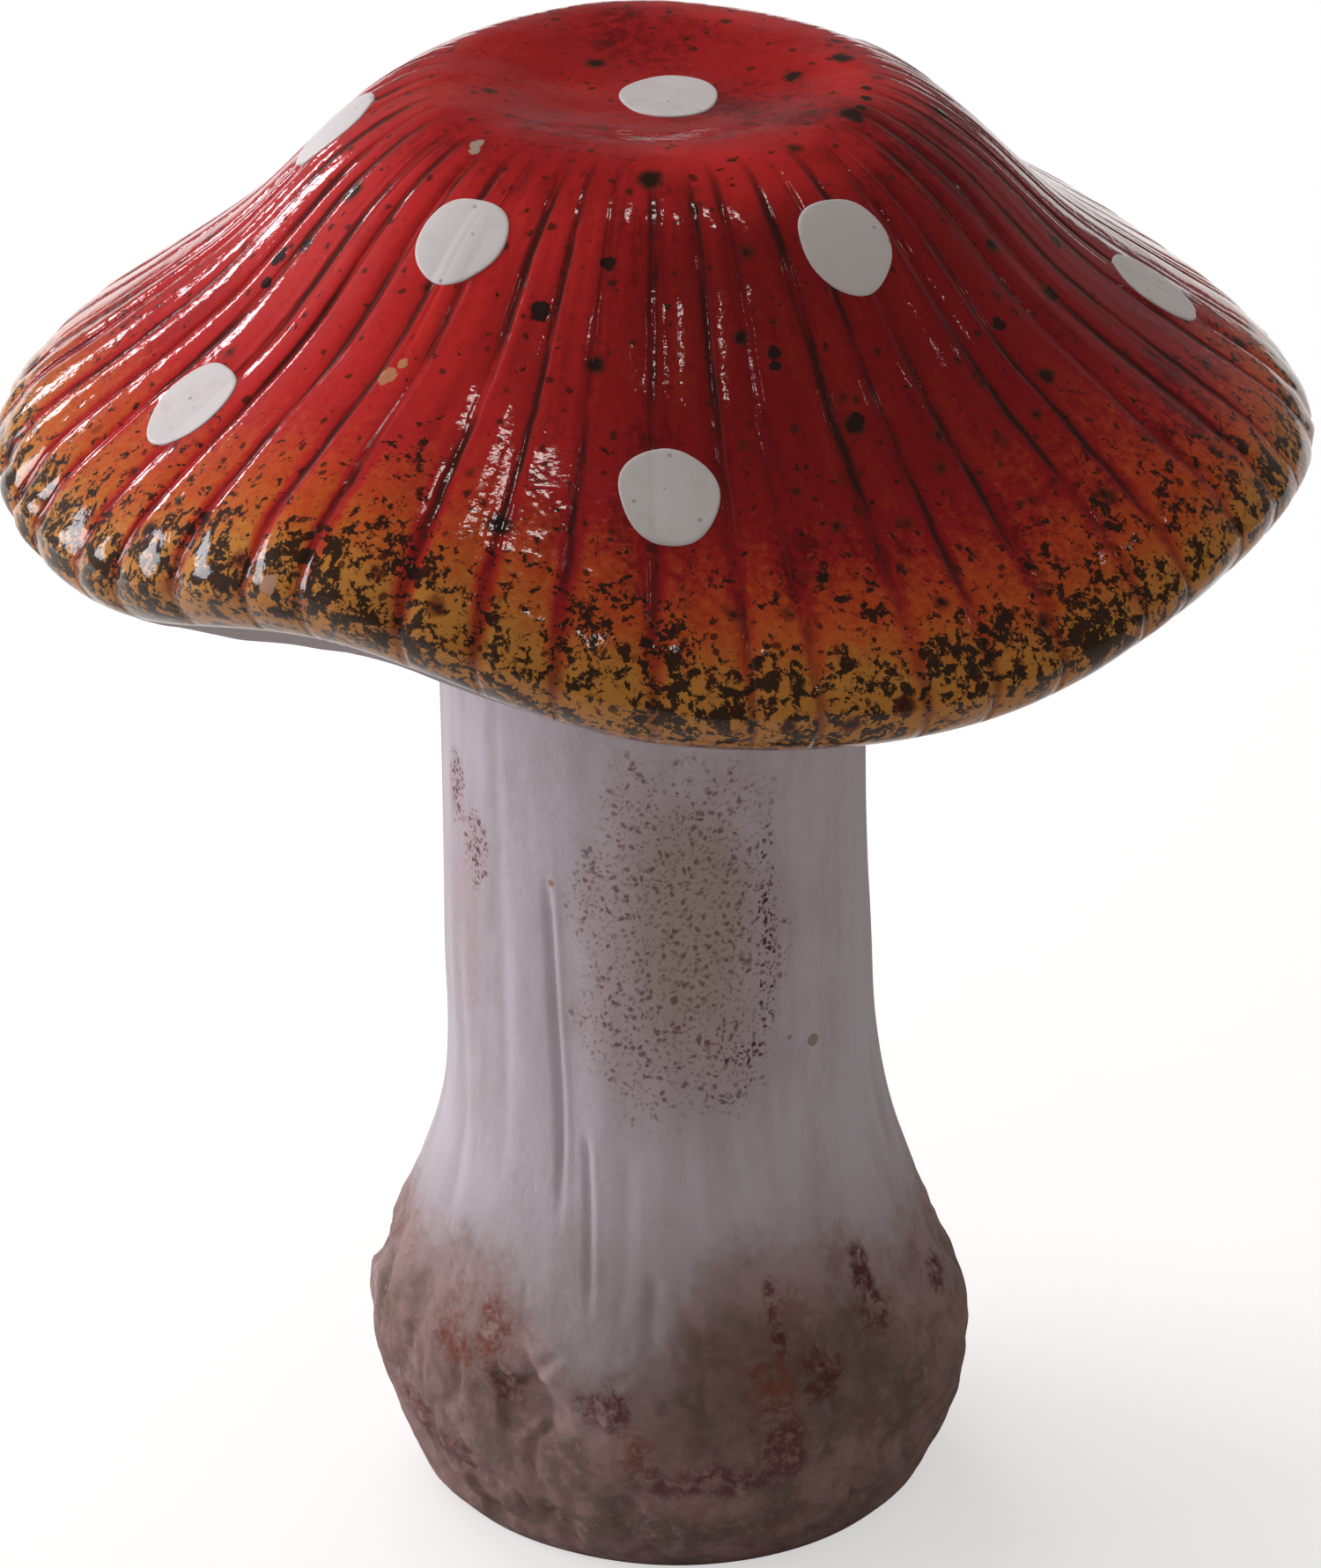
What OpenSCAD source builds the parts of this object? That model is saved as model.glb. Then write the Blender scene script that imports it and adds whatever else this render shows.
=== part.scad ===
// Garden toadstool of fired clay: a ribbed, glazed cap that lifts off a hollow, whitewashed stem.
// Millimetres, +Z up. The origin lies on the ground under the axis of the cap, and the front faces -Y.
// Turns are degrees round the axis from the front, growing towards +X.

/* [Cap] */
// Width across the brim
cap_w = 260; // [230:2:300]
// Rise of the shoulder above the brim's widest line
cap_rise = 73.5; // [60:0.5:90]
// Height of the brim's widest line above the flat that rests on the collar
brim_up = 10; // [8:0.5:14]
// Depth of the underside's lowest ring below the brim's widest line
brim_drop = 17; // [14:0.5:19]
// Height of the largest swell of the brim
brim_swell = 13; // [0:0.5:18]
// Thickness of the fired wall
cap_wall = 7; // [5:0.5:9]

/* [Ribs] */
// Number of ribs round the cap
rib_count = 48; // [36:2:60]
// Depth of the grooves between the ribs
rib_depth = 2; // [0:0.1:3]

/* [Collar] */
// Thickness of the flange that rests on the stem
flange_t = 5; // [4:0.5:7]
// Step from the stem's outside in to the edge of the flange
flange_inset = 1.5; // [1:0.5:4]
// Length of the skirt that drops into the stem
skirt_l = 22; // [14:1:30]
// Thickness of the skirt
skirt_wall = 5; // [4:0.5:7]
// Gap between the skirt and the stem's mouth
skirt_gap = 1; // [0.5:0.1:2]
// Bevel that leads the skirt into the mouth
skirt_bevel = 2; // [1:0.5:3]

/* [Stem] */
// Height from the ground to the mouth
stem_h = 216; // [180:2:260]
// Width of the neck
neck_w = 86; // [76:1:96]
// Width of the bulb
bulb_w = 121; // [110:1:140]
// Height at which the bulb runs out into the neck
bulb_h = 98; // [80:1:120]
// Width of the foot
foot_w = 97; // [90:1:106]
// Sideways lean of the foot, towards +X
foot_lean = 4; // [0:0.5:6]
// Thickness of the fired wall
stem_wall = 7; // [5:0.5:9]
// Thickness of the wall at the mouth
mouth_wall = 8; // [7.5:0.5:10]
// Room in the mouth below the skirt
mouth_spare = 18; // [10:1:30]
// Number of flutes down the neck
flute_count = 16; // [8:1:24]
// Depth of the flutes
flute_depth = 0.7; // [0:0.1:1.5]
// Depth of the long crease in the neck
crease_depth = 1.6; // [0:0.1:3]

/* [Floor] */
// Thickness of the floor
floor_t = 7; // [5:0.5:10]
// Height of the floor above the ground
floor_up = 2; // [1:0.5:4]
// Width of the ring that the stem stands on
foot_ring_w = 8.5; // [7:0.5:11]
// Width of the hole through the floor
drain_w = 16; // [10:1:24]

/* [Spots] */
// Width of a spot
spot_w = 20; // [14:0.5:24]
// Thickness of a spot
spot_t = 0.5; // [0.3:0.1:1]

/* [Hidden] */
upper_count = 5;
lower_count = 5;

// Fineness of the round pieces
$fn = 96;
// How far a cut runs past the face that it opens
overrun = 1;

// Heights and radii that follow from the sizes above
cap_r = cap_w / 2;
neck_r = neck_w / 2;
bulb_r = bulb_w / 2;
foot_r = foot_w / 2;
drain_r = drain_w / 2;
mouth_r = neck_r - mouth_wall;
mouth_depth = skirt_l + mouth_spare;
skirt_r = mouth_r - skirt_gap;
throat_r = skirt_r - skirt_wall;
flange_r = neck_r - flange_inset;
seat_z = stem_h + flange_t;
brim_z = seat_z + brim_up;
// Margin of the cap's flat seat outside the neck
seat_margin = 3;
seat_r = neck_r + seat_margin;
floor_r = foot_r - foot_ring_w;
floor_top = floor_up + floor_t;

// Section of the cap from the middle of the crown to the brim: shares of cap_r and of cap_rise
crown_shares = [
    [0, 0.935], [0.14, 0.95], [0.26, 0.99], [0.36, 0.968], [0.48, 0.825], [0.64, 0.543],
    [0.80, 0.33], [0.92, 0.18], [0.968, 0.098], [0.993, 0.036], [1, 0]
];
// Its way on under the brim: shares of cap_r and of brim_drop
under_shares = [
    [0.993, -0.18], [0.968, -0.41], [0.93, -0.61], [0.87, -0.83], [0.79, -1], [0.66, -0.93], [0.5, -0.77]
];
section = concat(
    [for (p = crown_shares) [p[0] * cap_r, p[1] * cap_rise]],
    [for (p = under_shares) [p[0] * cap_r, p[1] * brim_drop]],
    [[seat_r, -brim_up]]
);
// Stations along the section, counted in its points
shoulder_at = 2;
brim_at = len(crown_shares) - 1;
glaze_end_at = brim_at + 3;
seat_at = len(section) - 1;
crown_rows = [0.5, 1, 1.5, 2, 2.5];
rib_rows = [3, 3.5, 4, 4.5, 5, 5.5, 6, 6.5, 7, 8, 9, 10, 11, 12];
under_rows = [14, 15, 16, 17, 18];
inner_rows = [8.5, 7, 6, 5, 4, 3, 2, 1];

// Swell of the brim at equal turns from the front, as shares of brim_swell
swell_shares = [-0.08, -0.38, 0.25, 0.09, -0.08, 0.5, 0, 0, -0.31, -0.15, -0.08, 1];
// Shares of cap_r at which the swell starts, on the top and on the underside
swell_start_share = 0.4;
under_swell_start_share = 0.5;

// Columns in a rib, and the share of the groove's depth that each one takes
rib_shares = [1, 0.3, 0, 0.3];
rib_columns = len(rib_shares);
rib_pitch = 360 / rib_count;
// Share of a rib's pitch by which its groove strays, and of its depth by which it varies
stray_share = 0.16;
vary_share = 0.3;
// Turns that set the uneven order of both
stray_turn = 137;
vary_turn = 97;
// Stations between which the grooves grow to their full depth
rib_start = 2.2;
rib_full = 4.2;

// Outline of the stem from the mouth down to where the bulb starts: shares of the height between
// them, and shares of the way from neck to bulb
neck_shares = [[1, 0], [0.82, 0], [0.57, -0.025], [0.36, -0.015], [0.17, 0.015], [0, 0.04]];
// The bulb: shares of bulb_h, and shares of the way from neck to bulb
bulb_shares = [[0.816, 0.17], [0.633, 0.47], [0.469, 0.885], [0.306, 1], [0.163, 0.875], [0.051, 0.59]];
profile = concat(
    [for (p = neck_shares) [neck_r + p[1] * (bulb_r - neck_r), bulb_h + p[0] * (stem_h - bulb_h)]],
    [for (p = bulb_shares) [neck_r + p[1] * (bulb_r - neck_r), p[0] * bulb_h]],
    [[foot_r, 0]]
);
profile_end = len(profile) - 1;
stem_columns = 64;
stem_rows = [for (t = [0:0.5:profile_end]) t];
chamber_columns = 32;
chamber_levels = 12;

// The crease: its turn, its spread in degrees, and the shares of stem_h where it runs
crease_turn = -27;
crease_spread = 7;
crease_low_share = 0.30;
crease_high_share = 0.74;

// Lumps and dents of the bulb: turn, share of bulb_h, spread in degrees, share of lump_h
lump_h = 2.4;
lump_shares = [
    [-88, 0.47, 26, 1], [-55, 0.24, 24, -0.5], [-20, 0.44, 16, 0.45], [-24, 0.30, 14, -0.8],
    [18, 0.38, 22, 0.5], [52, 0.55, 20, 0.5], [80, 0.34, 26, 0.5], [118, 0.30, 26, -0.5],
    [160, 0.45, 28, 0.6], [-140, 0.30, 28, -0.5]
];
// Height over which a lump fades, as a share of bulb_h
lump_reach_share = 0.22;

// Spots: turn of each, and its station along the section
upper_turns = [-35.7, 35.6, 130, -166, -97];
upper_at = 4.03;
lower_turns = [1.7, 90, 150, -132, -61.5];
lower_at = [5.65, 5.69, 5.68, 5.68, 5.83];
// Shift of the crown's spot off the axis
crown_spot_x = 3;
crown_spot_y = 1;
// Bedding gap under a spot, and how far its outline reaches along its normal
spot_bed = 0.05;
spot_reach = 6;
// Clay left round a spot's outline in the skin that it is cut from
spot_margin = 3;
// Points round a spot, and how unevenly it was masked, as a share of its radius
spot_points = 28;
uneven_share = 0.035;
// Waves of that unevenness: how many go round, and the turn by which each shifts from spot to spot
mask_waves = [[3, 80], [5, 47]];
// Rings of the crown that carry its spot
crown_spot_rows = [0.5, 1];

function sum(v, i = 0) = i == len(v) ? 0 : v[i] + sum(v, i + 1);
function mix(a, b, u) = a + (b - a) * u;
function ease(u) = let (v = min(max(u, 0), 1)) v * v * (3 - 2 * v);
function held(p, i) = p[min(max(i, 0), len(p) - 1)];
function wrapped(p, i) = p[(i % len(p) + len(p)) % len(p)];
function blend(a, b, c, d, u) =
    (2 * b + (c - a) * u + (2 * a - 5 * b + 4 * c - d) * u * u + (3 * b - a - 3 * c + d) * u * u * u) / 2;

// A smooth curve through the points of list p, at station t
function along(p, t) =
    let (i = min(floor(t), len(p) - 2))
    blend(held(p, i - 1), held(p, i), held(p, i + 1), held(p, i + 2), t - i);

// A smooth closed run through the values of list p, at a turn
function around(p, turn) =
    let (s = turn * len(p) / 360, i = floor(s))
    blend(wrapped(p, i - 1), wrapped(p, i), wrapped(p, i + 1), wrapped(p, i + 2), s - i);

function place(r, turn, z) = [r * sin(turn), -r * cos(turn), z];
function off_turn(a, b) = abs((a - b + 540) % 360 - 180);

// Outward normal of the cap's section at station t, as radius and height
step_along = 0.01;
function normal_at(t) =
    let (a = along(section, max(t - step_along, 0)), b = along(section, min(t + step_along, seat_at)), d = b - a)
    [-d[1], d[0]] / norm(d);

// How far the brim swells at a station and a turn
function swell(t, turn) =
    let (share = along(section, t)[0] / cap_r, start = t > brim_at ? under_swell_start_share : swell_start_share)
    brim_swell * around(swell_shares, turn) * ease((share - start) / (1 - start));

// A point of the cap, set in from its surface along the normal
function cap_point(t, turn, inset) =
    let (p = along(section, t), n = normal_at(t))
    place(p[0] - inset * n[0], turn, brim_z + p[1] - inset * n[1] + swell(t, turn));

// Turn and depth share of groove i, and of column k of the rib that follows it
function lap(i) = i - rib_count * floor(i / rib_count);
function groove_turn(i) = rib_pitch * (i + stray_share * sin(stray_turn * lap(i)));
function groove_share(i) = 1 + vary_share * sin(vary_turn * lap(i));
function column_turn(j) =
    let (i = floor(j / rib_columns), k = j - i * rib_columns)
    mix(groove_turn(i), groove_turn(i + 1), k / rib_columns);
function column_share(j) =
    let (i = floor(j / rib_columns), k = j - i * rib_columns)
    rib_shares[k] * mix(groove_share(i), groove_share(i + 1), k / rib_columns);
function rib_strength(t) = t < brim_at ? ease((t - rib_start) / (rib_full - rib_start))
    : ease((glaze_end_at - t) / (glaze_end_at - brim_at));
function ribbed_point(t, j) = cap_point(t, column_turn(j), rib_depth * rib_strength(t) * column_share(j));

fine = rib_count * rib_columns;
function ribbed_ring(t) = [for (j = [0:fine - 1]) ribbed_point(t, j)];
function plain_ring(t, inset = 0) = [for (i = [0:rib_count - 1]) cap_point(t, groove_turn(i), inset)];
function flat_middle(z) = [[0, 0, z]];

// Triangles between ring a of na points and ring b of nb points, one of which may be a single point
// or have a whole number of times as many as the other. Slant picks the other diagonal.
function band(a, na, b, nb, slant = false) =
    na == 1 ? [for (j = [0:nb - 1]) [a, b + (j + 1) % nb, b + j]]
    : nb == 1 ? [for (j = [0:na - 1]) [a + j, a + (j + 1) % na, b]]
    : na < nb ? let (m = nb / na) [for (i = [0:na - 1]) each concat(
        [for (j = [i * m:i * m + m - 1]) [a + i, b + (j + 1) % nb, b + j]],
        [[a + i, a + (i + 1) % na, b + (i * m + m) % nb]])]
    : na > nb ? let (m = na / nb) [for (i = [0:nb - 1]) each concat(
        [for (j = [i * m:i * m + m - 1]) [a + j, a + (j + 1) % na, b + i]],
        [[a + (i * m + m) % na, b + (i + 1) % nb, b + i]])]
    : [for (j = [0:na - 1]) let (k = (j + 1) % na) each slant
        ? [[a + j, a + k, b + j], [a + k, b + k, b + j]]
        : [[a + j, a + k, b + k], [a + j, b + k, b + j]]];

// Where each ring of a list starts among the points
function starts(rings, i = 0, at = 0) = i == len(rings) ? [] : concat([at], starts(rings, i + 1, at + len(rings[i])));

// A closed solid through rings that run outwards over its top and back below
module turned(rings, slanted = []) {
    at = starts(rings);
    polyhedron(
        points = [for (ring = rings) each ring],
        faces = [for (i = [0:len(rings) - 2]) each
            band(at[i], len(rings[i]), at[i + 1], len(rings[i + 1]), len(search(i, slanted)) > 0)],
        convexity = 10
    );
}

module cap_shell() {
    color("crimson")
        turned(concat(
            [[cap_point(0, 0, 0)]],
            [for (t = crown_rows) plain_ring(t)],
            [for (t = rib_rows) ribbed_ring(t)],
            [plain_ring(glaze_end_at), plain_ring(glaze_end_at, cap_wall)],
            [for (t = inner_rows) plain_ring(t, cap_wall)],
            [[[0, 0, cap_point(0, 0, 0)[2] - cap_wall]]]
        ));
}

module cap_underside() {
    rows = len(under_rows);
    color("thistle")
        difference() {
            turned(concat(
                [flat_middle(seat_z + cap_wall)],
                [for (i = [rows - 1:-1:0]) plain_ring(under_rows[i], cap_wall)],
                [plain_ring(glaze_end_at, cap_wall), plain_ring(glaze_end_at)],
                [for (t = under_rows) plain_ring(t)],
                [flat_middle(seat_z)]
            ), [rows + 1]);
            translate([0, 0, seat_z - overrun])
                cylinder(r = throat_r, h = cap_wall + 2 * overrun);
        }
}

module cap_collar() {
    color("rosybrown")
        rotate_extrude()
            polygon([
                [throat_r, stem_h - skirt_l],
                [skirt_r - skirt_bevel, stem_h - skirt_l],
                [skirt_r, stem_h - skirt_l + skirt_bevel],
                [skirt_r, stem_h],
                [flange_r, stem_h],
                [flange_r, seat_z],
                [throat_r, seat_z]
            ]);
}

// Sideways place of the stem's axis at a height: plumb at the mouth, and leaning below it
function lean_at(z) = foot_lean * ease(1 - z / (stem_h - mouth_depth));

function lump_at(turn, z) =
    let (reach = lump_reach_share * bulb_h)
    lump_h * sum([for (l = lump_shares)
        l[3] * ease(1 - off_turn(turn, l[0]) / (2 * l[2])) * ease(1 - abs(z - l[1] * bulb_h) / (2 * reach))]);

function flute_at(turn, z) =
    flute_depth * (0.5 - 0.5 * cos(flute_count * turn)) * ease((z - bulb_h / 2) / bulb_h);

function crease_at(turn, z) =
    let (low = crease_low_share * stem_h, high = crease_high_share * stem_h, u = (z - low) / (high - low))
    crease_depth * ease(1 - off_turn(turn, crease_turn) / (2 * crease_spread)) * (u > 0 && u < 1 ? sin(180 * u) : 0);

function stem_point(t, turn) =
    let (p = along(profile, t), z = p[1], r = p[0] + lump_at(turn, z) - flute_at(turn, z) - crease_at(turn, z))
    place(r, turn, z) + [lean_at(z), 0, 0];

function stem_ring(t) = [for (j = [0:stem_columns - 1]) stem_point(t, j * 360 / stem_columns)];

// Radius of the stem's plain outline at a height
outline = [for (i = [profile_end:-1:0]) [profile[i][1], profile[i][0]]];
function chamber_ring(z) =
    [for (j = [0:chamber_columns - 1])
        place(lookup(z, outline) - stem_wall, j * 360 / chamber_columns, z) + [lean_at(z), 0, 0]];

module chamber() {
    top = stem_h - mouth_depth;
    levels = [for (i = [0:chamber_levels]) mix(top, floor_top, i / chamber_levels)];
    turned(concat(
        [flat_middle(top)],
        [for (z = levels) chamber_ring(z)],
        [[[foot_lean, 0, floor_top]]]
    ));
}

module stem_shell() {
    color("lavender")
        difference() {
            turned(concat(
                [flat_middle(stem_h)],
                [for (t = stem_rows) stem_ring(t)],
                [[[foot_lean, 0, 0]]]
            ));
            chamber();
            translate([0, 0, stem_h - mouth_depth - overrun])
                cylinder(r = mouth_r, h = mouth_depth + 2 * overrun);
            translate([foot_lean, 0, -overrun])
                cylinder(r = floor_r, h = floor_top + 2 * overrun);
        }
}

module stem_floor() {
    color("tan")
        translate([foot_lean, 0, floor_up])
            difference() {
                cylinder(r = floor_r, h = floor_t);
                translate([0, 0, -overrun])
                    cylinder(r = drain_r, h = floor_t + 2 * overrun);
            }
}

// Outline of a spot, masked by hand
module spot_outline(seed) {
    polygon([for (i = [0:spot_points - 1])
        let (a = i * 360 / spot_points, wave = sum([for (w = mask_waves) sin(w[0] * a + w[1] * seed)]))
        spot_w / 2 * (1 + uneven_share * wave) * [cos(a), sin(a)]]);
}

// A skin over rows and columns of the cap's own surface, from its bed up by its thickness along lift
module skin(grid, lift) {
    rows = len(grid);
    cols = len(grid[0]);
    count = rows * cols;
    bed = [for (row = grid) each [for (p = row) p + lift * spot_bed]];
    function at(i, j) = i * cols + j;
    polyhedron(
        points = concat(bed, [for (p = bed) p + lift * spot_t]),
        faces = concat(
            [for (i = [0:rows - 2], j = [0:cols - 2]) each [
                [count + at(i, j), count + at(i, j + 1), count + at(i + 1, j + 1)],
                [count + at(i, j), count + at(i + 1, j + 1), count + at(i + 1, j)],
                [at(i, j), at(i + 1, j + 1), at(i, j + 1)],
                [at(i, j), at(i + 1, j), at(i + 1, j + 1)]]],
            [for (j = [0:cols - 2]) each [
                [at(0, j), at(0, j + 1), count + at(0, j + 1)],
                [at(0, j), count + at(0, j + 1), count + at(0, j)],
                [at(rows - 1, j + 1), at(rows - 1, j), count + at(rows - 1, j)],
                [at(rows - 1, j + 1), count + at(rows - 1, j), count + at(rows - 1, j + 1)]]],
            [for (i = [0:rows - 2]) each [
                [at(i + 1, 0), at(i, 0), count + at(i, 0)],
                [at(i + 1, 0), count + at(i, 0), count + at(i + 1, 0)],
                [at(i, cols - 1), at(i + 1, cols - 1), count + at(i + 1, cols - 1)],
                [at(i, cols - 1), count + at(i + 1, cols - 1), count + at(i, cols - 1)]]]
        ),
        convexity = 10
    );
}

// A spot on the ribs at a station and a turn, cut from a skin that follows every rib below it
module spot(at, turn, seed) {
    centre = along(section, at);
    n = normal_at(at);
    tilt = atan2(n[0], n[1]);
    lift = [n[0] * sin(turn), -n[0] * cos(turn), n[1]];
    half = spot_w / 2 + spot_margin;
    rows = [for (t = rib_rows) if (abs(along(section, t)[0] - centre[0]) < 2 * half) t];
    middle = round(turn / 360 * fine);
    span = ceil(half / (centre[0] * 2 * PI / fine)) + 1;
    grid = [for (t = rows) [for (j = [middle - span:middle + span]) ribbed_point(t, j)]];
    color("whitesmoke")
        intersection() {
            skin(grid, lift);
            translate(cap_point(at, turn, 0))
                rotate([0, tilt, turn - 90])
                    translate([0, 0, -spot_reach])
                        linear_extrude(2 * spot_reach)
                            spot_outline(seed);
        }
}

module spot_crown() {
    lift = [0, 0, 1];
    bed = [for (t = crown_spot_rows) plain_ring(t)];
    middle = cap_point(0, 0, 0);
    low = concat([[middle]], bed);
    color("whitesmoke")
        intersection() {
            translate([0, 0, spot_bed])
                turned(concat(
                    [for (ring = low) [for (p = ring) p + lift * spot_t]],
                    [for (i = [len(low) - 1:-1:0]) low[i]]
                ));
            translate([crown_spot_x, crown_spot_y, middle[2] - spot_reach])
                linear_extrude(2 * spot_reach)
                    spot_outline(upper_count);
        }
}

cap_shell();
cap_underside();
cap_collar();
stem_shell();
stem_floor();
spot_crown();
for (i = [1:upper_count])
    spot(upper_at, upper_turns[i - 1], i);
for (i = [1:lower_count])
    spot(lower_at[i - 1], lower_turns[i - 1], upper_count + i);
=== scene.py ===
"""Looks of the garden toadstool: a ribbed, glazed cap on a hollow, whitewashed stem of fired clay.

Sizes in the form classes are millimetres, as in the part's source, and meshes are written in metres.
A turn is an angle in degrees round the upright axis, from the front (-Y) towards +X. A station counts
the points of the cap's section from the middle of the crown, over the brim, to the flat seat below.
"""

import logging
import math
from collections.abc import Callable
from dataclasses import dataclass
from enum import Enum

import bpy
import numpy as np
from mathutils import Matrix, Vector


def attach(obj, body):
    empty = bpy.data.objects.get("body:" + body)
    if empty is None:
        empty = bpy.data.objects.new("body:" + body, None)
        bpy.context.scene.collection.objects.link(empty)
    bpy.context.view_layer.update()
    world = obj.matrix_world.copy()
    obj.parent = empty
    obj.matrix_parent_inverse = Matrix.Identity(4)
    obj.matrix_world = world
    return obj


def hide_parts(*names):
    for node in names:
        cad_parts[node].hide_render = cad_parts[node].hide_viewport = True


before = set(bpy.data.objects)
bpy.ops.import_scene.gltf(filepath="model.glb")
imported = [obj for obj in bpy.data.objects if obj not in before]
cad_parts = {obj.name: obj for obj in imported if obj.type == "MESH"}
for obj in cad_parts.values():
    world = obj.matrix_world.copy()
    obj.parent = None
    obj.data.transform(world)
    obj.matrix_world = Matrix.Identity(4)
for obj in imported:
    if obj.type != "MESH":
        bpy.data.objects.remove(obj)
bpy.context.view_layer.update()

LOG = logging.getLogger("toadstool")
MM = 0.001

Array = np.ndarray
Colour = tuple[float, float, float]
Rows = tuple[tuple, ...]


class Body(Enum):
    """The rigid bodies that the new pieces ride on."""

    STEM = "stem"
    CAP = "cap"


class Slot(Enum):
    """The record's material slots."""

    GLAZE = "red_glaze"
    CLAY = "bare_clay"
    WASH = "whitewash"
    SPOT = "white_spot"


Piece = tuple[bpy.types.Object, list[str], Slot]


# Curves and noise on whole arrays


def ease(u: Array) -> Array:
    """Smooth step: 3u^2 - 2u^3 with u held between 0 and 1."""
    u = np.clip(u, 0, 1)
    return u * u * (3 - 2 * u)


def catmull(a: Array, b: Array, c: Array, d: Array, u: Array) -> Array:
    """Catmull-Rom cubic from b to c: half of 2b + (c-a)u + (2a-5b+4c-d)u^2 + (3b-a-3c+d)u^3."""
    return (2 * b + (c - a) * u + (2 * a - 5 * b + 4 * c - d) * u**2 + (3 * b - a - 3 * c + d) * u**3) / 2


def along(points: Array, t: Array) -> Array:
    """A smooth curve through points, at station t.

    Args:
        points: The curve's points, one a row.
        t: Stations, counted in points.

    Returns:
        The curve's points at t, in a last axis.
    """
    last = len(points) - 1
    t = np.clip(t, 0, last - 1e-9)
    i = np.floor(t).astype(int)
    held = [points[np.clip(i + k, 0, last)] for k in (-1, 0, 1, 2)]
    return catmull(*held, (t - i)[..., None])


def around(values: Array, turn: Array) -> Array:
    """A smooth closed run through values at equal turns, at a turn in degrees."""
    s = np.asarray(turn) * len(values) / 360
    i = np.floor(s).astype(int)
    held = [values[np.mod(i + k, len(values))] for k in (-1, 0, 1, 2)]
    return catmull(*held, s - i)


def lengths(points: Array, t: Array) -> Array:
    """Length of the smooth curve through points, as a sum of chords, at each of many stations."""
    steps = np.linalg.norm(np.diff(along(points, t), axis=0), axis=1)
    return np.concatenate([[0], np.cumsum(steps)])


def crossed(rows: Array, columns: Array) -> tuple[Array, Array]:
    """Two grids: every row's value along its row, and every column's value down its column."""
    return tuple(np.meshgrid(rows, columns, indexing="ij"))


def off_turn(a: Array, b: float) -> Array:
    """Angle from turn b to turn a, between -180 and 180 degrees."""
    return np.mod(a - b + 180, 360) - 180


def scatter(i: Array, j: Array, seed: int) -> Array:
    """Repeatable value from -1 to 1 for lattice point i, j: the fraction of a large multiple of a sine."""
    raw = np.sin(i * 127.1 + j * 311.7 + seed * 74.7) * 43758.5453
    return 2 * (raw - np.floor(raw)) - 1


def cloud(u: Array, v: Array, wrap: int, seed: int) -> Array:
    """Smooth noise from -1 to 1: lattice values blended with eased weights.

    Args:
        u: Place round the axis, in cells.
        v: Place along the surface, in cells.
        wrap: Cells in a full turn, after which u repeats.
        seed: Picks another pattern.

    Returns:
        The noise at u, v.
    """
    i, j = np.floor(u), np.floor(v)
    fu, fv = ease(u - i), ease(v - j)
    i0, i1 = np.mod(i, wrap), np.mod(i + 1, wrap)
    low = scatter(i0, j, seed) * (1 - fu) + scatter(i1, j, seed) * fu
    high = scatter(i0, j + 1, seed) * (1 - fu) + scatter(i1, j + 1, seed) * fu
    return low * (1 - fv) + high * fv


def layered(u: Array, v: Array, wrap: int, seed: int, layers: int = 3) -> Array:
    """Sum of clouds, each twice as fine and half as strong as the one before."""
    return sum(cloud(u * 2**k, v * 2**k, wrap * 2**k, seed + k) / 2**k for k in range(layers))


def place(r: Array, turn: Array, z: Array) -> Array:
    """Points at radius r, turn and height z: r times the turn's sine, minus r times its cosine, z."""
    a = np.radians(turn)
    return np.stack(np.broadcast_arrays(r * np.sin(a), -r * np.cos(a), z), -1)


# Meshes


def turned_mesh(
    name: str, rings: Array, ends: tuple[Array, ...] = (), uv: Array | None = None
) -> bpy.types.Object:
    """A closed mesh through rings of points that wrap round.

    A face spans two neighbours on a ring and the same two on the next ring. A pole closes a ring with
    a fan of triangles.

    Args:
        name: The object's name.
        rings: Points in millimetres, shaped rings by columns by 3, each ring wrapping round.
        ends: The first and last pole. Without them the last ring joins the first.
        uv: Map places of a mesh with poles, shaped rings by columns plus 1 by 2.

    Returns:
        The object, smooth-shaded, at the origin.
    """
    rows, cols = rings.shape[:2]
    points = rings.reshape(-1, 3)
    i, j = (g.ravel() for g in crossed(np.arange(rows - 1 if ends else rows), np.arange(cols)))
    below, beside = (i + 1) % rows, (j + 1) % cols
    quads = np.stack([i * cols + j, below * cols + j, below * cols + beside, i * cols + beside], -1)
    faces = quads.tolist()
    if ends:
        points = np.concatenate([points, np.stack(ends)])
        k = np.arange(cols)
        n = (k + 1) % cols
        pole = len(points) - 2
        last = (rows - 1) * cols
        faces += np.stack([np.full(cols, pole), k, n], -1).tolist()
        faces += np.stack([last + n, last + k, np.full(cols, pole + 1)], -1).tolist()
    mesh = bpy.data.meshes.new(name)
    mesh.from_pydata((points * MM).tolist(), [], faces)
    if uv is not None:
        corners = uv[np.stack([i, i + 1, i + 1, i], -1), np.stack([j, j, j + 1, j + 1], -1)]
        fans = [np.tile(uv[at, 0], (cols * 3, 1)) for at in (0, -1)]
        places = np.concatenate([corners.reshape(-1, 2), *fans])
        mesh.uv_layers.new(name="ribs").data.foreach_set("uv", places.astype(np.float32).ravel())
    mesh.polygons.foreach_set("use_smooth", np.ones(len(faces), bool))
    mesh.validate()
    mesh.update()
    made = bpy.data.objects.new(name, mesh)
    bpy.context.scene.collection.objects.link(made)
    return made


# Shader values


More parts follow.
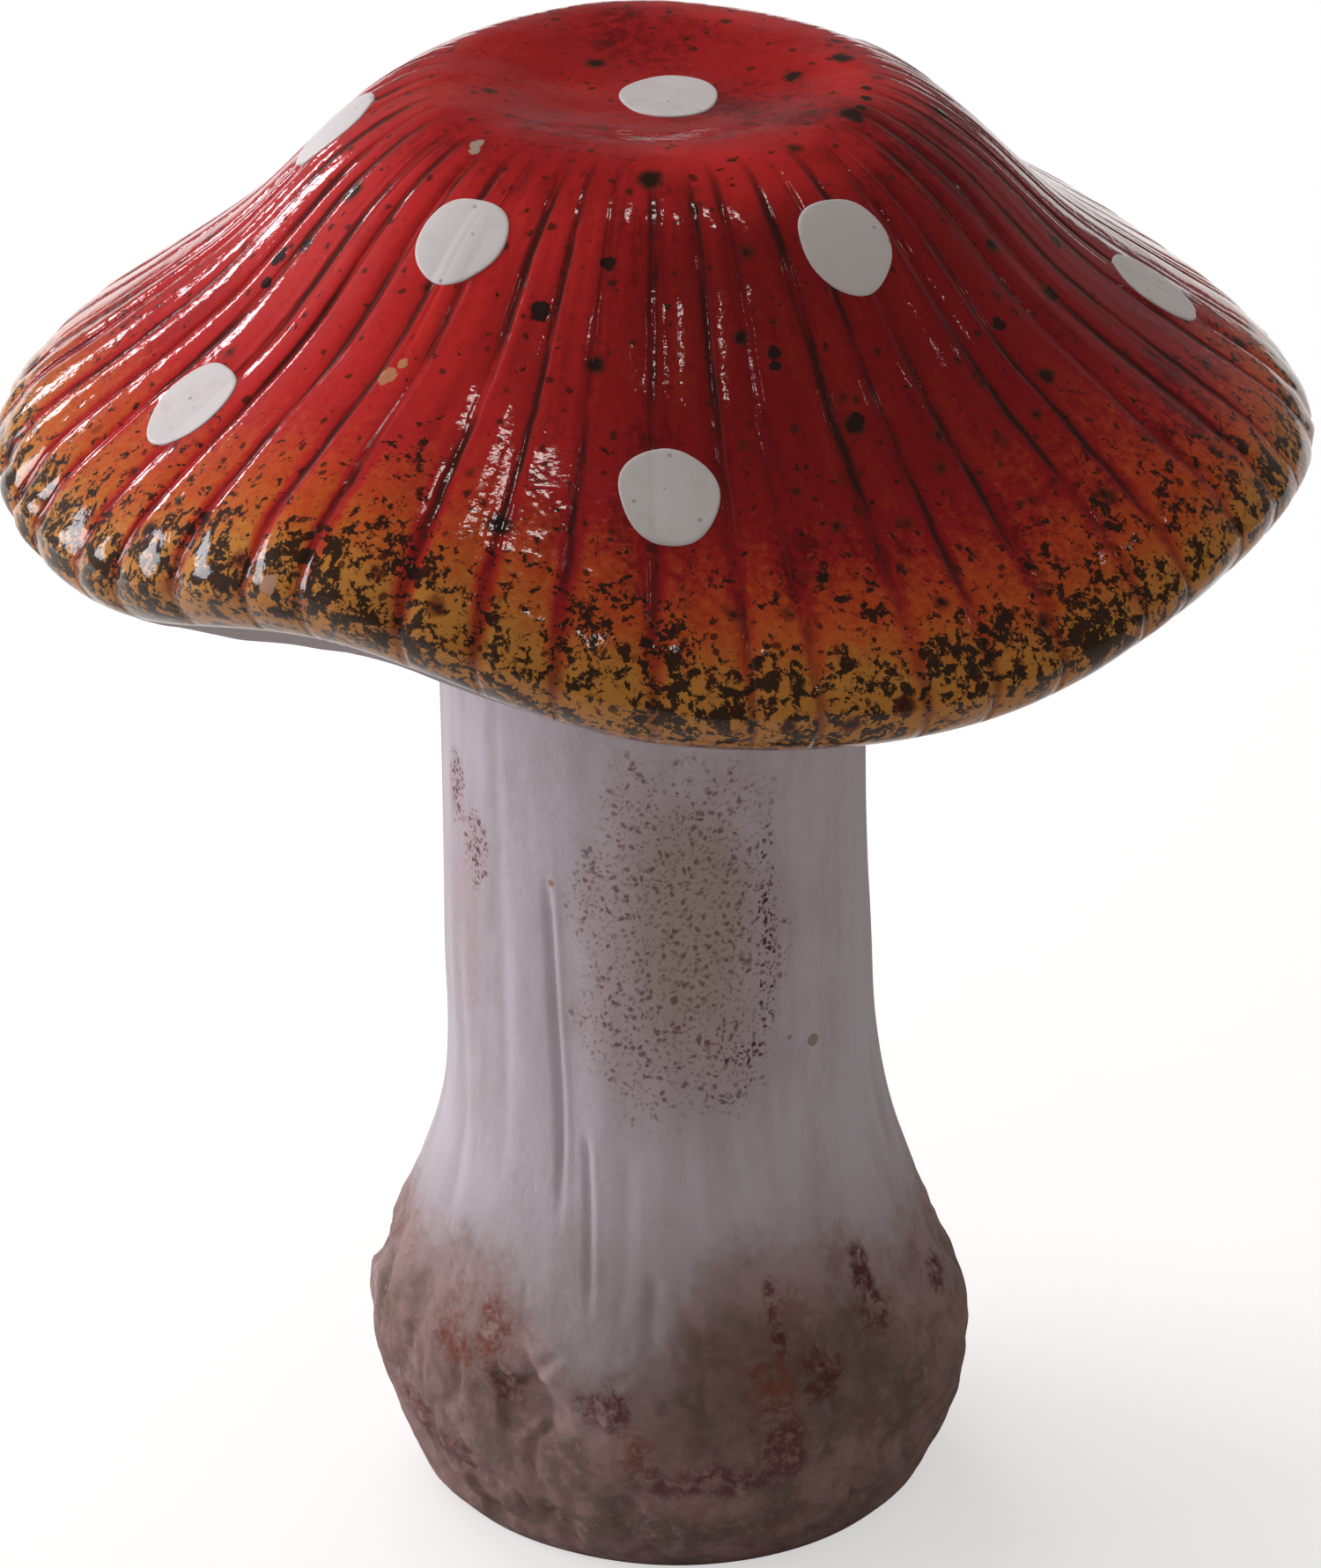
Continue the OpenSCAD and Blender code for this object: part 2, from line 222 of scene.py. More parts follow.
class Wire:
    """A socket's value, on which Python's operators add Math nodes."""

    def __init__(self, graph: "Graph", socket: bpy.types.NodeSocket) -> None:
        """Holds the graph and the socket."""
        self.graph = graph
        self.socket = socket

    def math(self, operation: str, *values: "float | Wire") -> "Wire":
        """Adds one Math node, which starts from this value."""
        return self.graph.node("ShaderNodeMath", {"operation": operation}, self, *values)

    def __add__(self, other: "float | Wire") -> "Wire":
        """This plus other."""
        return self.math("ADD", other)

    __radd__ = __add__

    def __mul__(self, other: "float | Wire") -> "Wire":
        """This times other."""
        return self.math("MULTIPLY", other)

    __rmul__ = __mul__

    def __sub__(self, other: "float | Wire") -> "Wire":
        """This less other."""
        return self.math("SUBTRACT", other)

    def __rsub__(self, other: "float | Wire") -> "Wire":
        """Other less this."""
        return self.graph.node("ShaderNodeMath", {"operation": "SUBTRACT"}, other, self)

    def __truediv__(self, other: "float | Wire") -> "Wire":
        """This over other."""
        return self.math("DIVIDE", other)

    def __pow__(self, other: "float | Wire") -> "Wire":
        """This to the power of other."""
        return self.math("POWER", other)

    def high(self, other: "float | Wire") -> "Wire":
        """The larger of this and other."""
        return self.math("MAXIMUM", other)

    def rise(self, start: "float | Wire", end: "float | Wire") -> "Wire":
        """Smooth rise from 0 where this is start to 1 where it is end."""
        settings = {"interpolation_type": "SMOOTHSTEP"}
        return self.graph.node("ShaderNodeMapRange", settings, self, start, end, 0.0, 1.0)


class Graph:
    """A node tree, and the few nodes that every finish here starts from."""

    def __init__(self, tree: bpy.types.NodeTree) -> None:
        """Holds the tree."""
        self.tree = tree

    @classmethod
    def for_finish(cls, name: str) -> "Graph":
        """Starts a new material."""
        material = bpy.data.materials.new(name)
        material.use_nodes = True
        made = cls(material.node_tree)
        made.material = material
        made.shader = material.node_tree.nodes["Principled BSDF"]
        return made

    def node(
        self, kind: str, settings: dict, *values: object, output: int | str = 0, **named: object
    ) -> Wire:
        """Adds any node.

        Args:
            kind: The node's type.
            settings: Its settings, set before its sockets.
            values: Values or links of its first sockets, in order. None leaves a socket alone.
            output: The output to return.
            named: Values or links of other sockets, by name, with _ for a space.

        Returns:
            The output as a Wire.
        """
        made = self.tree.nodes.new(kind)
        for key, value in settings.items():
            setattr(made, key, value)
        for key, value in [*enumerate(values), *((k.replace("_", " "), v) for k, v in named.items())]:
            self._feed(made.inputs[key], value)
        return Wire(self, made.outputs[output])

    def _feed(self, socket: bpy.types.NodeSocket, value: object) -> None:
        """Links or sets one socket."""
        if value is None:
            return
        if isinstance(value, Wire):
            self.tree.links.new(value.socket, socket)
        elif socket.type == "RGBA" and len(value) == 3:
            socket.default_value = (*value, 1)
        else:
            socket.default_value = value

    def mix(self, first: object, second: object, share: "float | Wire") -> Wire:
        """Colour between first and second, which are the node's sockets 6 and 7."""
        settings = {"data_type": "RGBA"}
        return self.node("ShaderNodeMix", settings, share, *[None] * 5, first, second, output=2)

    def coats(self, base: object, *laid: tuple[object, "float | Wire"]) -> Wire:
        """Lays colours over a base, in order, each with the share that it covers."""
        for colour, share in laid:
            base = self.mix(base, colour, share)
        return base

    def vector(self, operation: str, *values: object, output: int | str = 0) -> Wire:
        """Adds one Vector Math node."""
        return self.node("ShaderNodeVectorMath", {"operation": operation}, *values, output=output)

    def object_place(self) -> Wire:
        """Place on the object, in metres."""
        return self.node("ShaderNodeTexCoord", {}, output="Object")

    def scaled(self, vector: Wire, by: float) -> Wire:
        """A vector times a number."""
        return self.node("ShaderNodeVectorMath", {"operation": "SCALE"}, vector, Scale=by)

    def parts(self, vector: Wire) -> list[Wire]:
        """The three numbers of a vector."""
        made = self.node("ShaderNodeSeparateXYZ", {}, vector).socket.node
        return [Wire(self, socket) for socket in made.outputs]

    def join(self, *values: object) -> Wire:
        """A vector of three numbers."""
        return self.node("ShaderNodeCombineXYZ", {}, *values)

    def noise(
        self,
        at: Wire,
        scale: float,
        detail: float = 2.0,
        rough: float = 0.5,
        warp: float = 0.0,
        output: str = "Fac",
    ) -> Wire:
        """Noise from 0 to 1.

        Args:
            at: Where it is read.
            scale: Cells a metre.
            detail: Finer layers that are added.
            rough: Strength of each layer, as a share of the one before.
            warp: How far the noise bends itself.
            output: "Fac" for one number, or "Color" for three.

        Returns:
            The noise.
        """
        named = {"Scale": scale, "Detail": detail, "Roughness": rough, "Distortion": warp}
        return self.node("ShaderNodeTexNoise", {}, at, output=output, **named)

    def cells(self, at: Wire, scale: float) -> tuple[Wire, Wire]:
        """Distance to the nearest of scattered points, in cells, and that point's own random number."""
        made = self.node("ShaderNodeTexVoronoi", {}, at, Scale=scale)
        red = self.node("ShaderNodeSeparateColor", {}, Wire(self, made.socket.node.outputs["Color"]))
        return made, red

    def rays(self) -> list[Wire]:
        """1 for the camera's rays, for mirrored ones and for those through glass, and else 0."""
        path = self.node("ShaderNodeLightPath", {}).socket.node
        return [Wire(self, path.outputs[f"Is {kind} Ray"]) for kind in ("Camera", "Glossy", "Transmission")]

    def finish(
        self, colour: object, roughness: object, height: Wire | None, **constants: float
    ) -> bpy.types.Material:
        """Feeds the shader.

        Args:
            colour: Its colour.
            roughness: Its roughness.
            height: Height in metres for the bump.
            constants: Plain numbers of other sockets, by name, with _ for a space.

        Returns:
            The material.
        """
        self._feed(self.shader.inputs["Base Color"], colour)
        self._feed(self.shader.inputs["Roughness"], roughness)
        bump = self.node("ShaderNodeBump", {}, Height=height, Strength=1.0, Distance=1.0)
        self._feed(self.shader.inputs["Normal"], bump)
        for name, value in constants.items():
            self.shader.inputs[name.replace("_", " ")].default_value = value
        return self.material


# Finishes


@dataclass(frozen=True)
class Chip:
    """A flake, a mark or a drop of glaze: its middle and size in millimetres, and its colour."""

    x: float
    y: float
    z: float
    size: float
    colour: Colour

    def mask(self, graph: Graph, at: Wire, ragged: Wire) -> Wire:
        """1 inside the chip and 0 outside, with a ragged edge."""
        away = graph.vector("DISTANCE", at, (self.x * MM, self.y * MM, self.z * MM), output="Value")
        return 1 - (away + ragged * self.size * MM).rise(self.size * MM, self.size * MM * 1.25)


@dataclass(frozen=True)
class Glaze:
    """Glossy red glaze that runs to orange and ochre at the brim, with black sponged over the ochre.
    A half rib is in radians, and the bump's heights are in metres."""

    crimson: Colour = (0.38, 0.013, 0.014)
    scarlet: Colour = (0.50, 0.032, 0.016)
    bright: Colour = (0.60, 0.028, 0.026)
    maroon: Colour = (0.15, 0.006, 0.008)
    orange: Colour = (0.53, 0.085, 0.016)
    ochre: Colour = (0.55, 0.225, 0.042)
    black: Colour = (0.016, 0.011, 0.008)
    brown: Colour = (0.12, 0.018, 0.01)
    half_rib: float = math.pi / 48
    gloss: float = 0.06
    peel_height: float = 0.00016
    grain_height: float = 0.00003
    line_depth: float = 0.0002

    def material(self, chips: tuple[Chip, ...]) -> bpy.types.Material:
        """Builds the glaze. What changes down the cap goes by station, and what changes across it by the
        gap to the nearest groove, in metres.

        Args:
            chips: Its flakes and marks.

        Returns:
            The material.
        """
        g = Graph.for_finish("red_glaze")
        at = g.object_place()
        x, y, _ = g.parts(at)
        rib, station, _ = g.parts(g.node("ShaderNodeUVMap", {"uv_map": "ribs"}))
        radius = g.vector("LENGTH", g.join(x, y, 0.0), output="Value")
        ribs_a_radian = 0.5 / self.half_rib
        flow = g.join(x / radius * ribs_a_radian, y / radius * ribs_a_radian, station * 0.35)
        wander = g.noise(at, 140, 2) - 0.5
        fold = (rib + wander * 0.10).math("PINGPONG", 0.5) * 2
        gap = fold * radius * self.half_rib
        flank = station.rise(2.4, 3.6)
        line = (1 - gap.rise(0.0003, 0.0013)) * flank
        valley = (1 - gap.rise(0.0004, 0.0032)) * flank
        streak = g.noise(flow, 2.2, 3, 0.6)
        broad = g.noise(at, 24, 3, 0.6)
        grain = g.noise(at, 520, 5, 0.7)
        tone = (streak - 0.5) * 0.8 * flank + (broad - 0.5) * 0.9 + (grain - 0.5) * 0.55 + 0.5
        right = (x / radius + (broad - 0.5) * 0.5).rise(-0.3, 0.15)
        left = (x / radius * -1.0).rise(-0.15, 0.35) * (y * -1.0 / radius).rise(-0.6, 0.2)
        ring = right * station.rise(1.5, 2.3) * (1 - station.rise(3.1, 3.8))
        # Painted shade: the flank's right and front are darkened towards maroon, on the side away from the
        # lamps.
        painted_shade = right * station.rise(3.2, 4.1) * (1 - station.rise(5.4, 6.8))
        edge = station + left * 0.5 + (broad - 0.5) * 2.0 + (grain - 0.5) * 2.2 - valley * (0.5 + left * 0.9)
        run = valley * station.rise(6.2, 7.4) * (1 - station.rise(10.2, 11.5)) * (0.22 + left * 0.28)
        pooled = line * streak.rise(0.40, 0.56) * (1 - station.rise(6.0, 8.0))
        dark, halo = self.specks(g, at, station)
        ragged = (g.noise(at, 650, 4, 0.65) - 0.5) * 1.7
        body = g.coats(
            self.maroon,
            (self.crimson, tone.rise(0.28, 0.5)),
            (self.scarlet, tone.rise(0.54, 0.78)),
            (self.maroon, valley * streak.rise(0.3, 0.6) * 0.6),
            # painted light: brighter red over the left flank, the side that the lamps light
            (self.bright, left * (1 - right) * station.rise(2.8, 4.0) * 0.55),
            (self.bright, ring * broad.rise(0.3, 0.6) * 0.85),
            # painted shade on the right and front of the flank
            (self.maroon, painted_shade * 0.55),
            (self.orange, edge.rise(5.9, 7.3)),
            (self.ochre, edge.rise(6.9, 8.5)),
            (self.crimson, run),
            (self.black, pooled * 0.85),
            (self.brown, line * station.rise(7.0, 8.5) * 0.5),
            (self.black, self.sponge(g, at, station, valley, left.high(right))),
            (self.brown, halo * 0.8),
            (self.black, dark * 0.9),
            *((chip.colour, chip.mask(g, at, ragged)) for chip in chips),
        )
        rough = self.gloss + grain.rise(0.5, 0.8) * 0.12
        peel = g.noise(at, 240, 2, 0.5) * self.peel_height + g.noise(at, 900, 2, 0.5) * self.grain_height
        return g.finish(body, rough, peel - line * self.line_depth, Specular_IOR_Level=0.5)

    def sponge(self, g: Graph, at: Wire, station: Wire, valley: Wire, sides: Wire) -> Wire:
        """Black that a sponge left: ragged blotches on the crests, thicker towards the brim and the sides.

        Args:
            g: The glaze's graph.
            at: Place on the cap.
            station: Station along its section.
            valley: 1 in the grooves.
            sides: 1 at the left and the right.

        Returns:
            The share that black covers.
        """
        clump = g.noise(at, 80, 3, 0.6) - 0.5
        ragged = g.noise(at, 360, 6, 0.73, 0.35)
        fine = g.noise(at, 950, 3, 0.6) - 0.5
        cover = station.rise(4.7, 8.2) * 0.172 - 0.153 + clump * 0.38 + fine * 0.24
        return (ragged + cover - valley * 0.03 + sides * 0.008).rise(0.515, 0.54) * 0.95

    def specks(self, g: Graph, at: Wire, station: Wire) -> tuple[Wire, Wire]:
        """Iron specks in the glaze: few large ones, more small ones, and a fine brown spray.

        Args:
            g: The glaze's graph.
            at: Place on the cap.
            station: Station along its section.

        Returns:
            The share of the dark specks, and the share of the brown halos round them.
        """
        drift = g.vector("SUBTRACT", g.noise(at, 420.0, 3.0, output="Color"), (0.5, 0.5, 0.5))
        bent = g.vector("ADD", at, g.scaled(drift, 0.0022))
        far, pick = g.cells(bent, 105)
        size = pick * pick * (0.25 - station.rise(3.0, 4.5) * 0.04)
        fine_far, fine_pick = g.cells(bent, 260)
        tiny_far, tiny_pick = g.cells(bent, 620)
        large = 1 - (far - size).rise(-0.05, 0.04)
        small = (1 - (fine_far - fine_pick * 0.25).rise(-0.06, 0.05)) * fine_pick.rise(0.3, 0.6)
        tiny = (1 - tiny_far.rise(0.12, 0.34)) * tiny_pick.rise(0.45, 0.8)
        halo = (1 - (far - size).rise(0.0, 0.16)) * pick.rise(0.2, 0.5)
        return large.high(small * 0.45), halo.high(small * 0.95).high(tiny * 0.5)


@dataclass(frozen=True)
class SpotPaint:
    """Satin white paint of the spots, soiled here and there, with a few grey pinholes."""

    white: Colour = (0.66, 0.62, 0.61)
    soiled: Colour = (0.52, 0.47, 0.44)
    grey: Colour = (0.3, 0.27, 0.25)
    satin: float = 0.3
    brush_height: float = 0.00006

    def material(self) -> bpy.types.Material:
        """Builds the paint."""
        g = Graph.for_finish("white_spot")
        at = g.object_place()
        far, pick = g.cells(at, 330)
        pin = (1 - far.rise(0.06, 0.2)) * pick.rise(0.6, 0.72)
        soil = g.noise(at, 120, 4, 0.6)
        colour = g.coats(self.white, (self.soiled, soil.rise(0.52, 0.75) * 0.5), (self.grey, pin * 0.8))
        height = g.noise(at, 500, 3) * self.brush_height
        return g.finish(colour, self.satin + soil * 0.2, height, Specular_IOR_Level=0.5)


@dataclass(frozen=True)
class BareClay:
    """Unglazed clay with a thin mauve-grey wash."""

    wash: Colour = (0.44, 0.375, 0.385)
    clay: Colour = (0.3, 0.18, 0.14)
    grit_height: float = 0.00008
    wash_height: float = 0.0002

    def material(self) -> bpy.types.Material:
        """Builds the clay."""
        g = Graph.for_finish("bare_clay")
        at = g.object_place()
        cover = g.noise(at, 60, 5, 0.65)
        grit = g.noise(at, 900, 3, 0.6)
        colour = g.mix(self.wash, self.clay, (cover * 0.8 + grit * 0.3).rise(0.55, 0.8) * 0.6)
        height = grit * self.grit_height + cover * self.wash_height
        return g.finish(colour, 0.75 + grit * 0.15, height)


@dataclass(frozen=True)
class Patch:
    """A stain on the stem: turn and height of its middle, its half width in degrees and half height, in
    millimetres. A power of 2 makes it an ellipse, and a higher one a box with round corners."""

    turn: float
    z: float
    half_turn: float
    half_height: float
    power: float = 2

    def mask(self, turn: Wire, z: Wire, ragged: Wire) -> Wire:
        """1 in the middle of the patch, fading to 0 at a ragged edge."""
        across = ((turn - self.turn) / self.half_turn).math("ABSOLUTE")
        up = ((z - self.z * MM) / (self.half_height * MM)).math("ABSOLUTE")
        away = (across**self.power + up**self.power) ** (1 / self.power)
        return 1 - (away + ragged).rise(0.55, 1.15)


@dataclass(frozen=True)
class Whitewash:
    """Matt whitewash over clay, stained and speckled on the neck and sponged with brown on the bulb."""

    white: Colour = (0.60, 0.55, 0.60)
    grey: Colour = (0.46, 0.405, 0.41)
    pink: Colour = (0.50, 0.365, 0.385)
    khaki: Colour = (0.42, 0.33, 0.27)
    speck: Colour = (0.13, 0.05, 0.045)
    olive: Colour = (0.105, 0.065, 0.035)
    ink: Colour = (0.07, 0.03, 0.035)
    mauve: Colour = (0.30, 0.18, 0.16)
    umber: Colour = (0.14, 0.088, 0.064)
    chalk: Colour = (0.44, 0.32, 0.31)
    rust: Colour = (0.20, 0.05, 0.024)
    russet: Colour = (0.20, 0.082, 0.066)
    bark: Colour = (0.12, 0.066, 0.047)
    dusk: Colour = (0.31, 0.24, 0.235)
    burgundy: Colour = (0.10, 0.022, 0.02)
    axis_x: float = 0.003
    skin_height: float = 0.0003
    grit_height: float = 0.00005

    def material(self, drops: tuple[Chip, ...]) -> bpy.types.Material:
        """Builds the whitewash.

        Args:
            drops: Drops of glaze on it.

        Returns:
            The material.
        """
        g = Graph.for_finish("whitewash")
        at = g.object_place()
        x, y, z = g.parts(at)
        turn = (x - self.axis_x).math("ARCTAN2", y * -1.0) * (180 / math.pi)
        streak = g.noise(g.join(x, y, z * 0.12), 130, 3, 0.6)
        broad = g.noise(at, 30, 3)
        fine = g.noise(at, 260, 4, 0.65)
        ragged = (g.noise(at, 70, 4, 0.6) - 0.5) * 1.1
        soft, hard = ragged * 0.6, ragged * 0.5
        stain = Patch(4, 138, 31, 42, 4).mask(turn, z, ragged * 0.8)
        core = Patch(6, 141, 17, 28, 4).mask(turn, z, soft)
        low_stain = Patch(10, 116, 20, 18).mask(turn, z, ragged)
        side = Patch(-69, 160, 5, 9).mask(turn, z, hard).high(Patch(-59, 149, 6, 9).mask(turn, z, hard))
        beige = Patch(-64, 136, 12, 30).mask(turn, z, ragged)
        edge = Patch(28, 138, 2.8, 27, 4).mask(turn, z, soft).high(Patch(21, 112, 7, 2.6).mask(turn, z, hard))
        dots, spray = self.dots(g, at)
        both = stain.high(side)
        dot = g.coats(self.olive, (self.speck, 1 - core), (self.speck, low_stain))
        colour = g.coats(
            self.white,
            (self.grey, (streak * 0.7 + broad * 0.5 + fine * 0.2).rise(0.58, 0.95) * 0.85),
            (self.pink, stain * 0.7),
            (self.pink, side.high(beige * 0.6) * 0.7),
            (self.khaki, core * 0.6),
            (dot, spray * both.rise(0.05, 0.7).high(beige * 0.3) * 0.5),
            (dot, dots * both.rise(0.1, 0.6) * 0.7),
            (self.ink, dots.high(spray) * edge.rise(0.1, 0.6).high(side * 0.6) * 0.9),
            *((drop.colour, drop.mask(g, at, fine - 0.5) * 0.8) for drop in drops),
        )
        colour = self.bulb(g, at, turn, z, ragged, colour)
        height = fine * self.skin_height + g.noise(at, 1100, 2) * self.grit_height
        return g.finish(colour, 0.7 + fine * 0.2, height, Specular_IOR_Level=0.3)

    def dots(self, g: Graph, at: Wire) -> tuple[Wire, Wire]:
        """Brown dots that come in crowds, and a finer spray between them.

        Args:
            g: The whitewash's graph.
            at: Place on the stem.

        Returns:
            The share of the dots, and the share of the spray.
        """
        drift = g.scaled(g.noise(at, 260.0, 3.0, output="Color"), 0.004)
        bent = g.vector("ADD", at, drift)
        far, pick = g.cells(bent, 620)
        crowd = g.noise(at, 150, 3, 0.6)
        large = (1 - (far - pick * 0.1).rise(0.12, 0.42)) * (pick + crowd).rise(0.72, 1.0)
        fine_far, fine_pick = g.cells(bent, 1150)
        small = (1 - fine_far.rise(0.15, 0.55)) * (fine_pick + crowd).rise(0.72, 1.05)
        return large, small

    def bulb(self, g: Graph, at: Wire, turn: Wire, z: Wire, ragged: Wire, colour: Wire) -> Wire:
        """Lays brown over the bulb, up to a ragged rim with a tongue of white, and dabs of rust on it.

        Args:
            g: The whitewash's graph.
            at: Place on the stem.
            turn: Turn round its axis.
            z: Height in metres.
            ragged: Noise for the edges of the stains.
            colour: The whitewash so far.

        Returns:
            The whitewash with the stains.
        """
        tongue = 1 - ((turn + 15).math("ABSOLUTE") / 28 + ragged * 0.15).rise(0.05, 1.0)
        bay = Patch(26, 70, 24, 200).mask(turn, z, ragged * 0.4)
        rim = z + ragged * 0.013 - 0.003 + tongue * 0.017 - bay * 0.008
        low = 1 - rim.rise(0.046, 0.075)
        deep = 1 - rim.rise(0.036, 0.056)
        mottle = g.noise(at, 75, 6, 0.72)
        grit = g.noise(at, 330, 5, 0.7)
        # Chalky wash, laid thicker on the left of the bulb: partly the wash itself, partly painted light on
        # the side the lamps light.
        pale = 0.9 - (turn * 0.02).rise(-0.9, 0.3) * 0.5
        chalky = (g.noise(at, 60, 6, 0.72, 0.4) + (grit - 0.5) * 0.5).rise(0.54, 0.7) * pale
        middle = Patch(16, 44, 40, 16).mask(turn, z, ragged * 0.8)
        ground = g.coats(
            self.mauve,
            (self.umber, (mottle * 0.7 + grit * 0.4 + deep * 0.02).rise(0.46, 0.68)),
            (self.chalk, chalky.high(0.55 - deep * 0.55)),
            (self.russet, g.noise(at, 130, 6, 0.75, 0.3).rise(0.5, 0.62) * 0.5),
            (self.bark, middle * 0.5),
        )
        dabbed = (low * 1.5 + (mottle - 0.5) * 0.9 + (grit - 0.5) * 1.0).rise(0.2, 1.1)
        colour = g.coats(
            colour,
            (self.dusk, (1 - z.rise(0.05, 0.085)) * 0.6),
            (ground, low.high(0.0) ** 0.5 * dabbed * 0.95),
        )
        blot = g.noise(at, 210, 6, 0.78, 0.3)
        for patch, paint in self.dabs():
            shape = patch.mask(turn, z, ragged + (grit - 0.5) * 2.4)
            dab = (blot * 0.6 + grit * 0.5 + shape * 0.08).rise(0.54, 0.70)
            colour = g.mix(colour, paint, shape * dab * 0.95)
        # Painted light: a paler pink at the foot of the bulb, strongest on its left, where the lamps light
        # it.
        foot = (1 - z.rise(0.025, 0.055)) * (1 - turn.rise(-25.0, 45.0) * 0.7)
        return g.mix(colour, self.pink, foot * 0.13)

    def dabs(self) -> list[tuple[Patch, Colour]]:
        """The dabs on the bulb, in the order in which they are laid: those in front, then those behind."""
        rust, wine, umber = self.rust, self.burgundy, self.umber
        rows = (
            (-40, 50, 6, 9, rust), (-49, 45, 9, 6, rust), (-35, 42, 7, 7, wine), (23.4, 58, 2.6, 9, wine),
            (20, 45, 7, 8, rust), (31, 45, 6, 7, wine), (22, 32, 7, 11, wine), (10, 25, 20, 5, wine),
            (47, 57, 5, 10, wine), (71, 52, 6, 4, wine), (-6, 31, 5, 8, rust), (-13, 41, 7, 5, wine),
            (-62, 25, 9, 8, wine), (-50, 20, 16, 5, wine), (52, 34, 12, 12, umber), (-4, 12, 40, 6, umber),
            (-22, 26, 9, 9, umber), (110, 44, 14, 13, rust), (150, 30, 16, 10, wine),
            (-160, 46, 12, 13, wine), (-120, 34, 14, 12, rust),
        )
        return [(Patch(*where), paint) for *where, paint in rows]


# Forms


@dataclass
class Cap:
    """The ribbed cap: shell, underside and spots, with the sizes of the part's source."""

    radius: float = 130
    rise: float = 73.5
    drop: float = 17
    swell_height: float = 13
    seat_z: float = 221
    brim_up: float = 10
    seat_radius: float = 46
    throat: float = 29
    wall: float = 7
    ribs: int = 48
    rib_depth: float = 2
    columns_a_rib: int = 16
    rows: int = 108
    spot_radius: float = 10
    spot_height: float = 0.3
    spot_columns: int = 96
    spot_fill: float = 0.3
    bell_share: float = 0.46
    cusp_share: float = 0.27
    fold_depth: float = 0.2
    ripple_depth: float = 0.09
    crown_unevenness: float = 0.55
    brim_unevenness: float = 0.35
    soffit_unevenness: float = 0.35
    brim_at: int = 10
    glaze_end_at: int = 13
    pole_at: float = 0.12

    crown_shares: Rows = (
        (0, 0.935), (0.14, 0.95), (0.26, 0.99), (0.36, 0.968), (0.48, 0.825), (0.64, 0.543),
        (0.80, 0.33), (0.92, 0.18), (0.968, 0.098), (0.993, 0.036), (1, 0),
    )
    under_shares: Rows = (
        (0.993, -0.18), (0.968, -0.41), (0.93, -0.61), (0.87, -0.83), (0.79, -1), (0.66, -0.93), (0.5, -0.77),
    )
    swell_shares: tuple[float, ...] = (-0.08, -0.38, 0.25, 0.09, -0.08, 0.5, 0, 0, -0.31, -0.15, -0.08, 1)
    vigour_shares: tuple[float, ...] = (0.6, 0.4, 0.32, 0.3, 0.34, 0.45, 0.55, 0.7, 0.9, 1, 0.95, 0.85)
    upper_spots: Rows = ((4.03, -35.7), (4.03, 35.6), (4.03, 130), (4.03, -166), (4.03, -97))
    lower_spots: Rows = ((5.65, 1.7), (5.69, 90), (5.68, 150), (5.68, -132), (5.83, -61.5))

    def __post_init__(self) -> None:
        """Works out the section and the turns of the grooves."""
        crown = np.array(self.crown_shares, float) * (self.radius, self.rise)
        under = np.array(self.under_shares, float) * (self.radius, self.drop)
        self.section = np.concatenate([crown, under, [[self.seat_radius, -self.brim_up]]])
        self.last = len(self.section) - 1
        self.brim_z = self.seat_z + self.brim_up
        self.grooves = np.arange(-1, self.ribs + 2)
        lap = np.mod(self.grooves, self.ribs)
        self.groove_turns = 360 / self.ribs * (self.grooves + 0.16 * np.sin(np.radians(137 * lap)))
        self.groove_depths = 1 + 0.3 * np.sin(np.radians(97 * lap))
        self.stations = np.linspace(0, self.last, 1801)
        self.arcs = lengths(self.section, self.stations)

    def turn_of(self, phase: Array) -> Array:
        """Turn at a place counted in ribs from the front: straight between the grooves."""
        return np.interp(phase, self.grooves, self.groove_turns)

    def phase_of(self, turn: Array) -> Array:
        """Place counted in ribs at a turn."""
        return np.interp(np.mod(turn, 360), self.groove_turns, self.grooves)

    def arc_at(self, t: Array) -> Array:
        """Length along the section from the middle of the crown to station t."""
        return np.interp(t, self.stations, self.arcs)

    def station_at(self, arc: Array) -> Array:
        """Station at a length along the section."""
        return np.interp(arc, self.arcs, self.stations)

    def radius_at(self, t: Array) -> Array:
        """Plain radius at station t."""
        return along(self.section, t)[..., 0]

    def normal(self, t: Array) -> Array:
        """Outward normal of the section at station t, as radius and height: its slope, turned a quarter."""
        ahead, back = np.minimum(t + 0.01, self.last), np.maximum(t - 0.01, 0)
        d = along(self.section, ahead) - along(self.section, back)
        return np.stack([-d[..., 1], d[..., 0]], -1) / np.linalg.norm(d, axis=-1, keepdims=True)

    def swell(self, t: Array, turn: Array) -> Array:
        """Rise of the brim: the swell at a turn times an ease from the start share to the brim."""
        start = np.where(t > self.brim_at, 0.5, 0.4)
        share = (self.radius_at(t) / self.radius - start) / (1 - start)
        return self.swell_height * around(np.array(self.swell_shares), turn) * ease(share)

    def point(self, t: Array, turn: Array, inset: Array) -> Array:
        """A point of the cap, set in from its plain surface along the normal."""
        p, n = along(self.section, t), self.normal(t)
        r = p[..., 0] - inset * n[..., 0]
        return place(r, turn, self.brim_z + p[..., 1] - inset * n[..., 1] + self.swell(t, turn))

    def strength(self, t: Array) -> Array:
        """Share of their full depth that the grooves have at a station."""
        fade = ease((self.glaze_end_at - t) / (self.glaze_end_at - self.brim_at))
        return np.where(t < self.brim_at, ease((t - 2.6) / 1.9), fade)

    def vigour(self, turn: Array) -> Array:
        """Share of the pleats' depth at a turn: full on the left, and worn on the right."""
        return around(np.array(self.vigour_shares), turn)

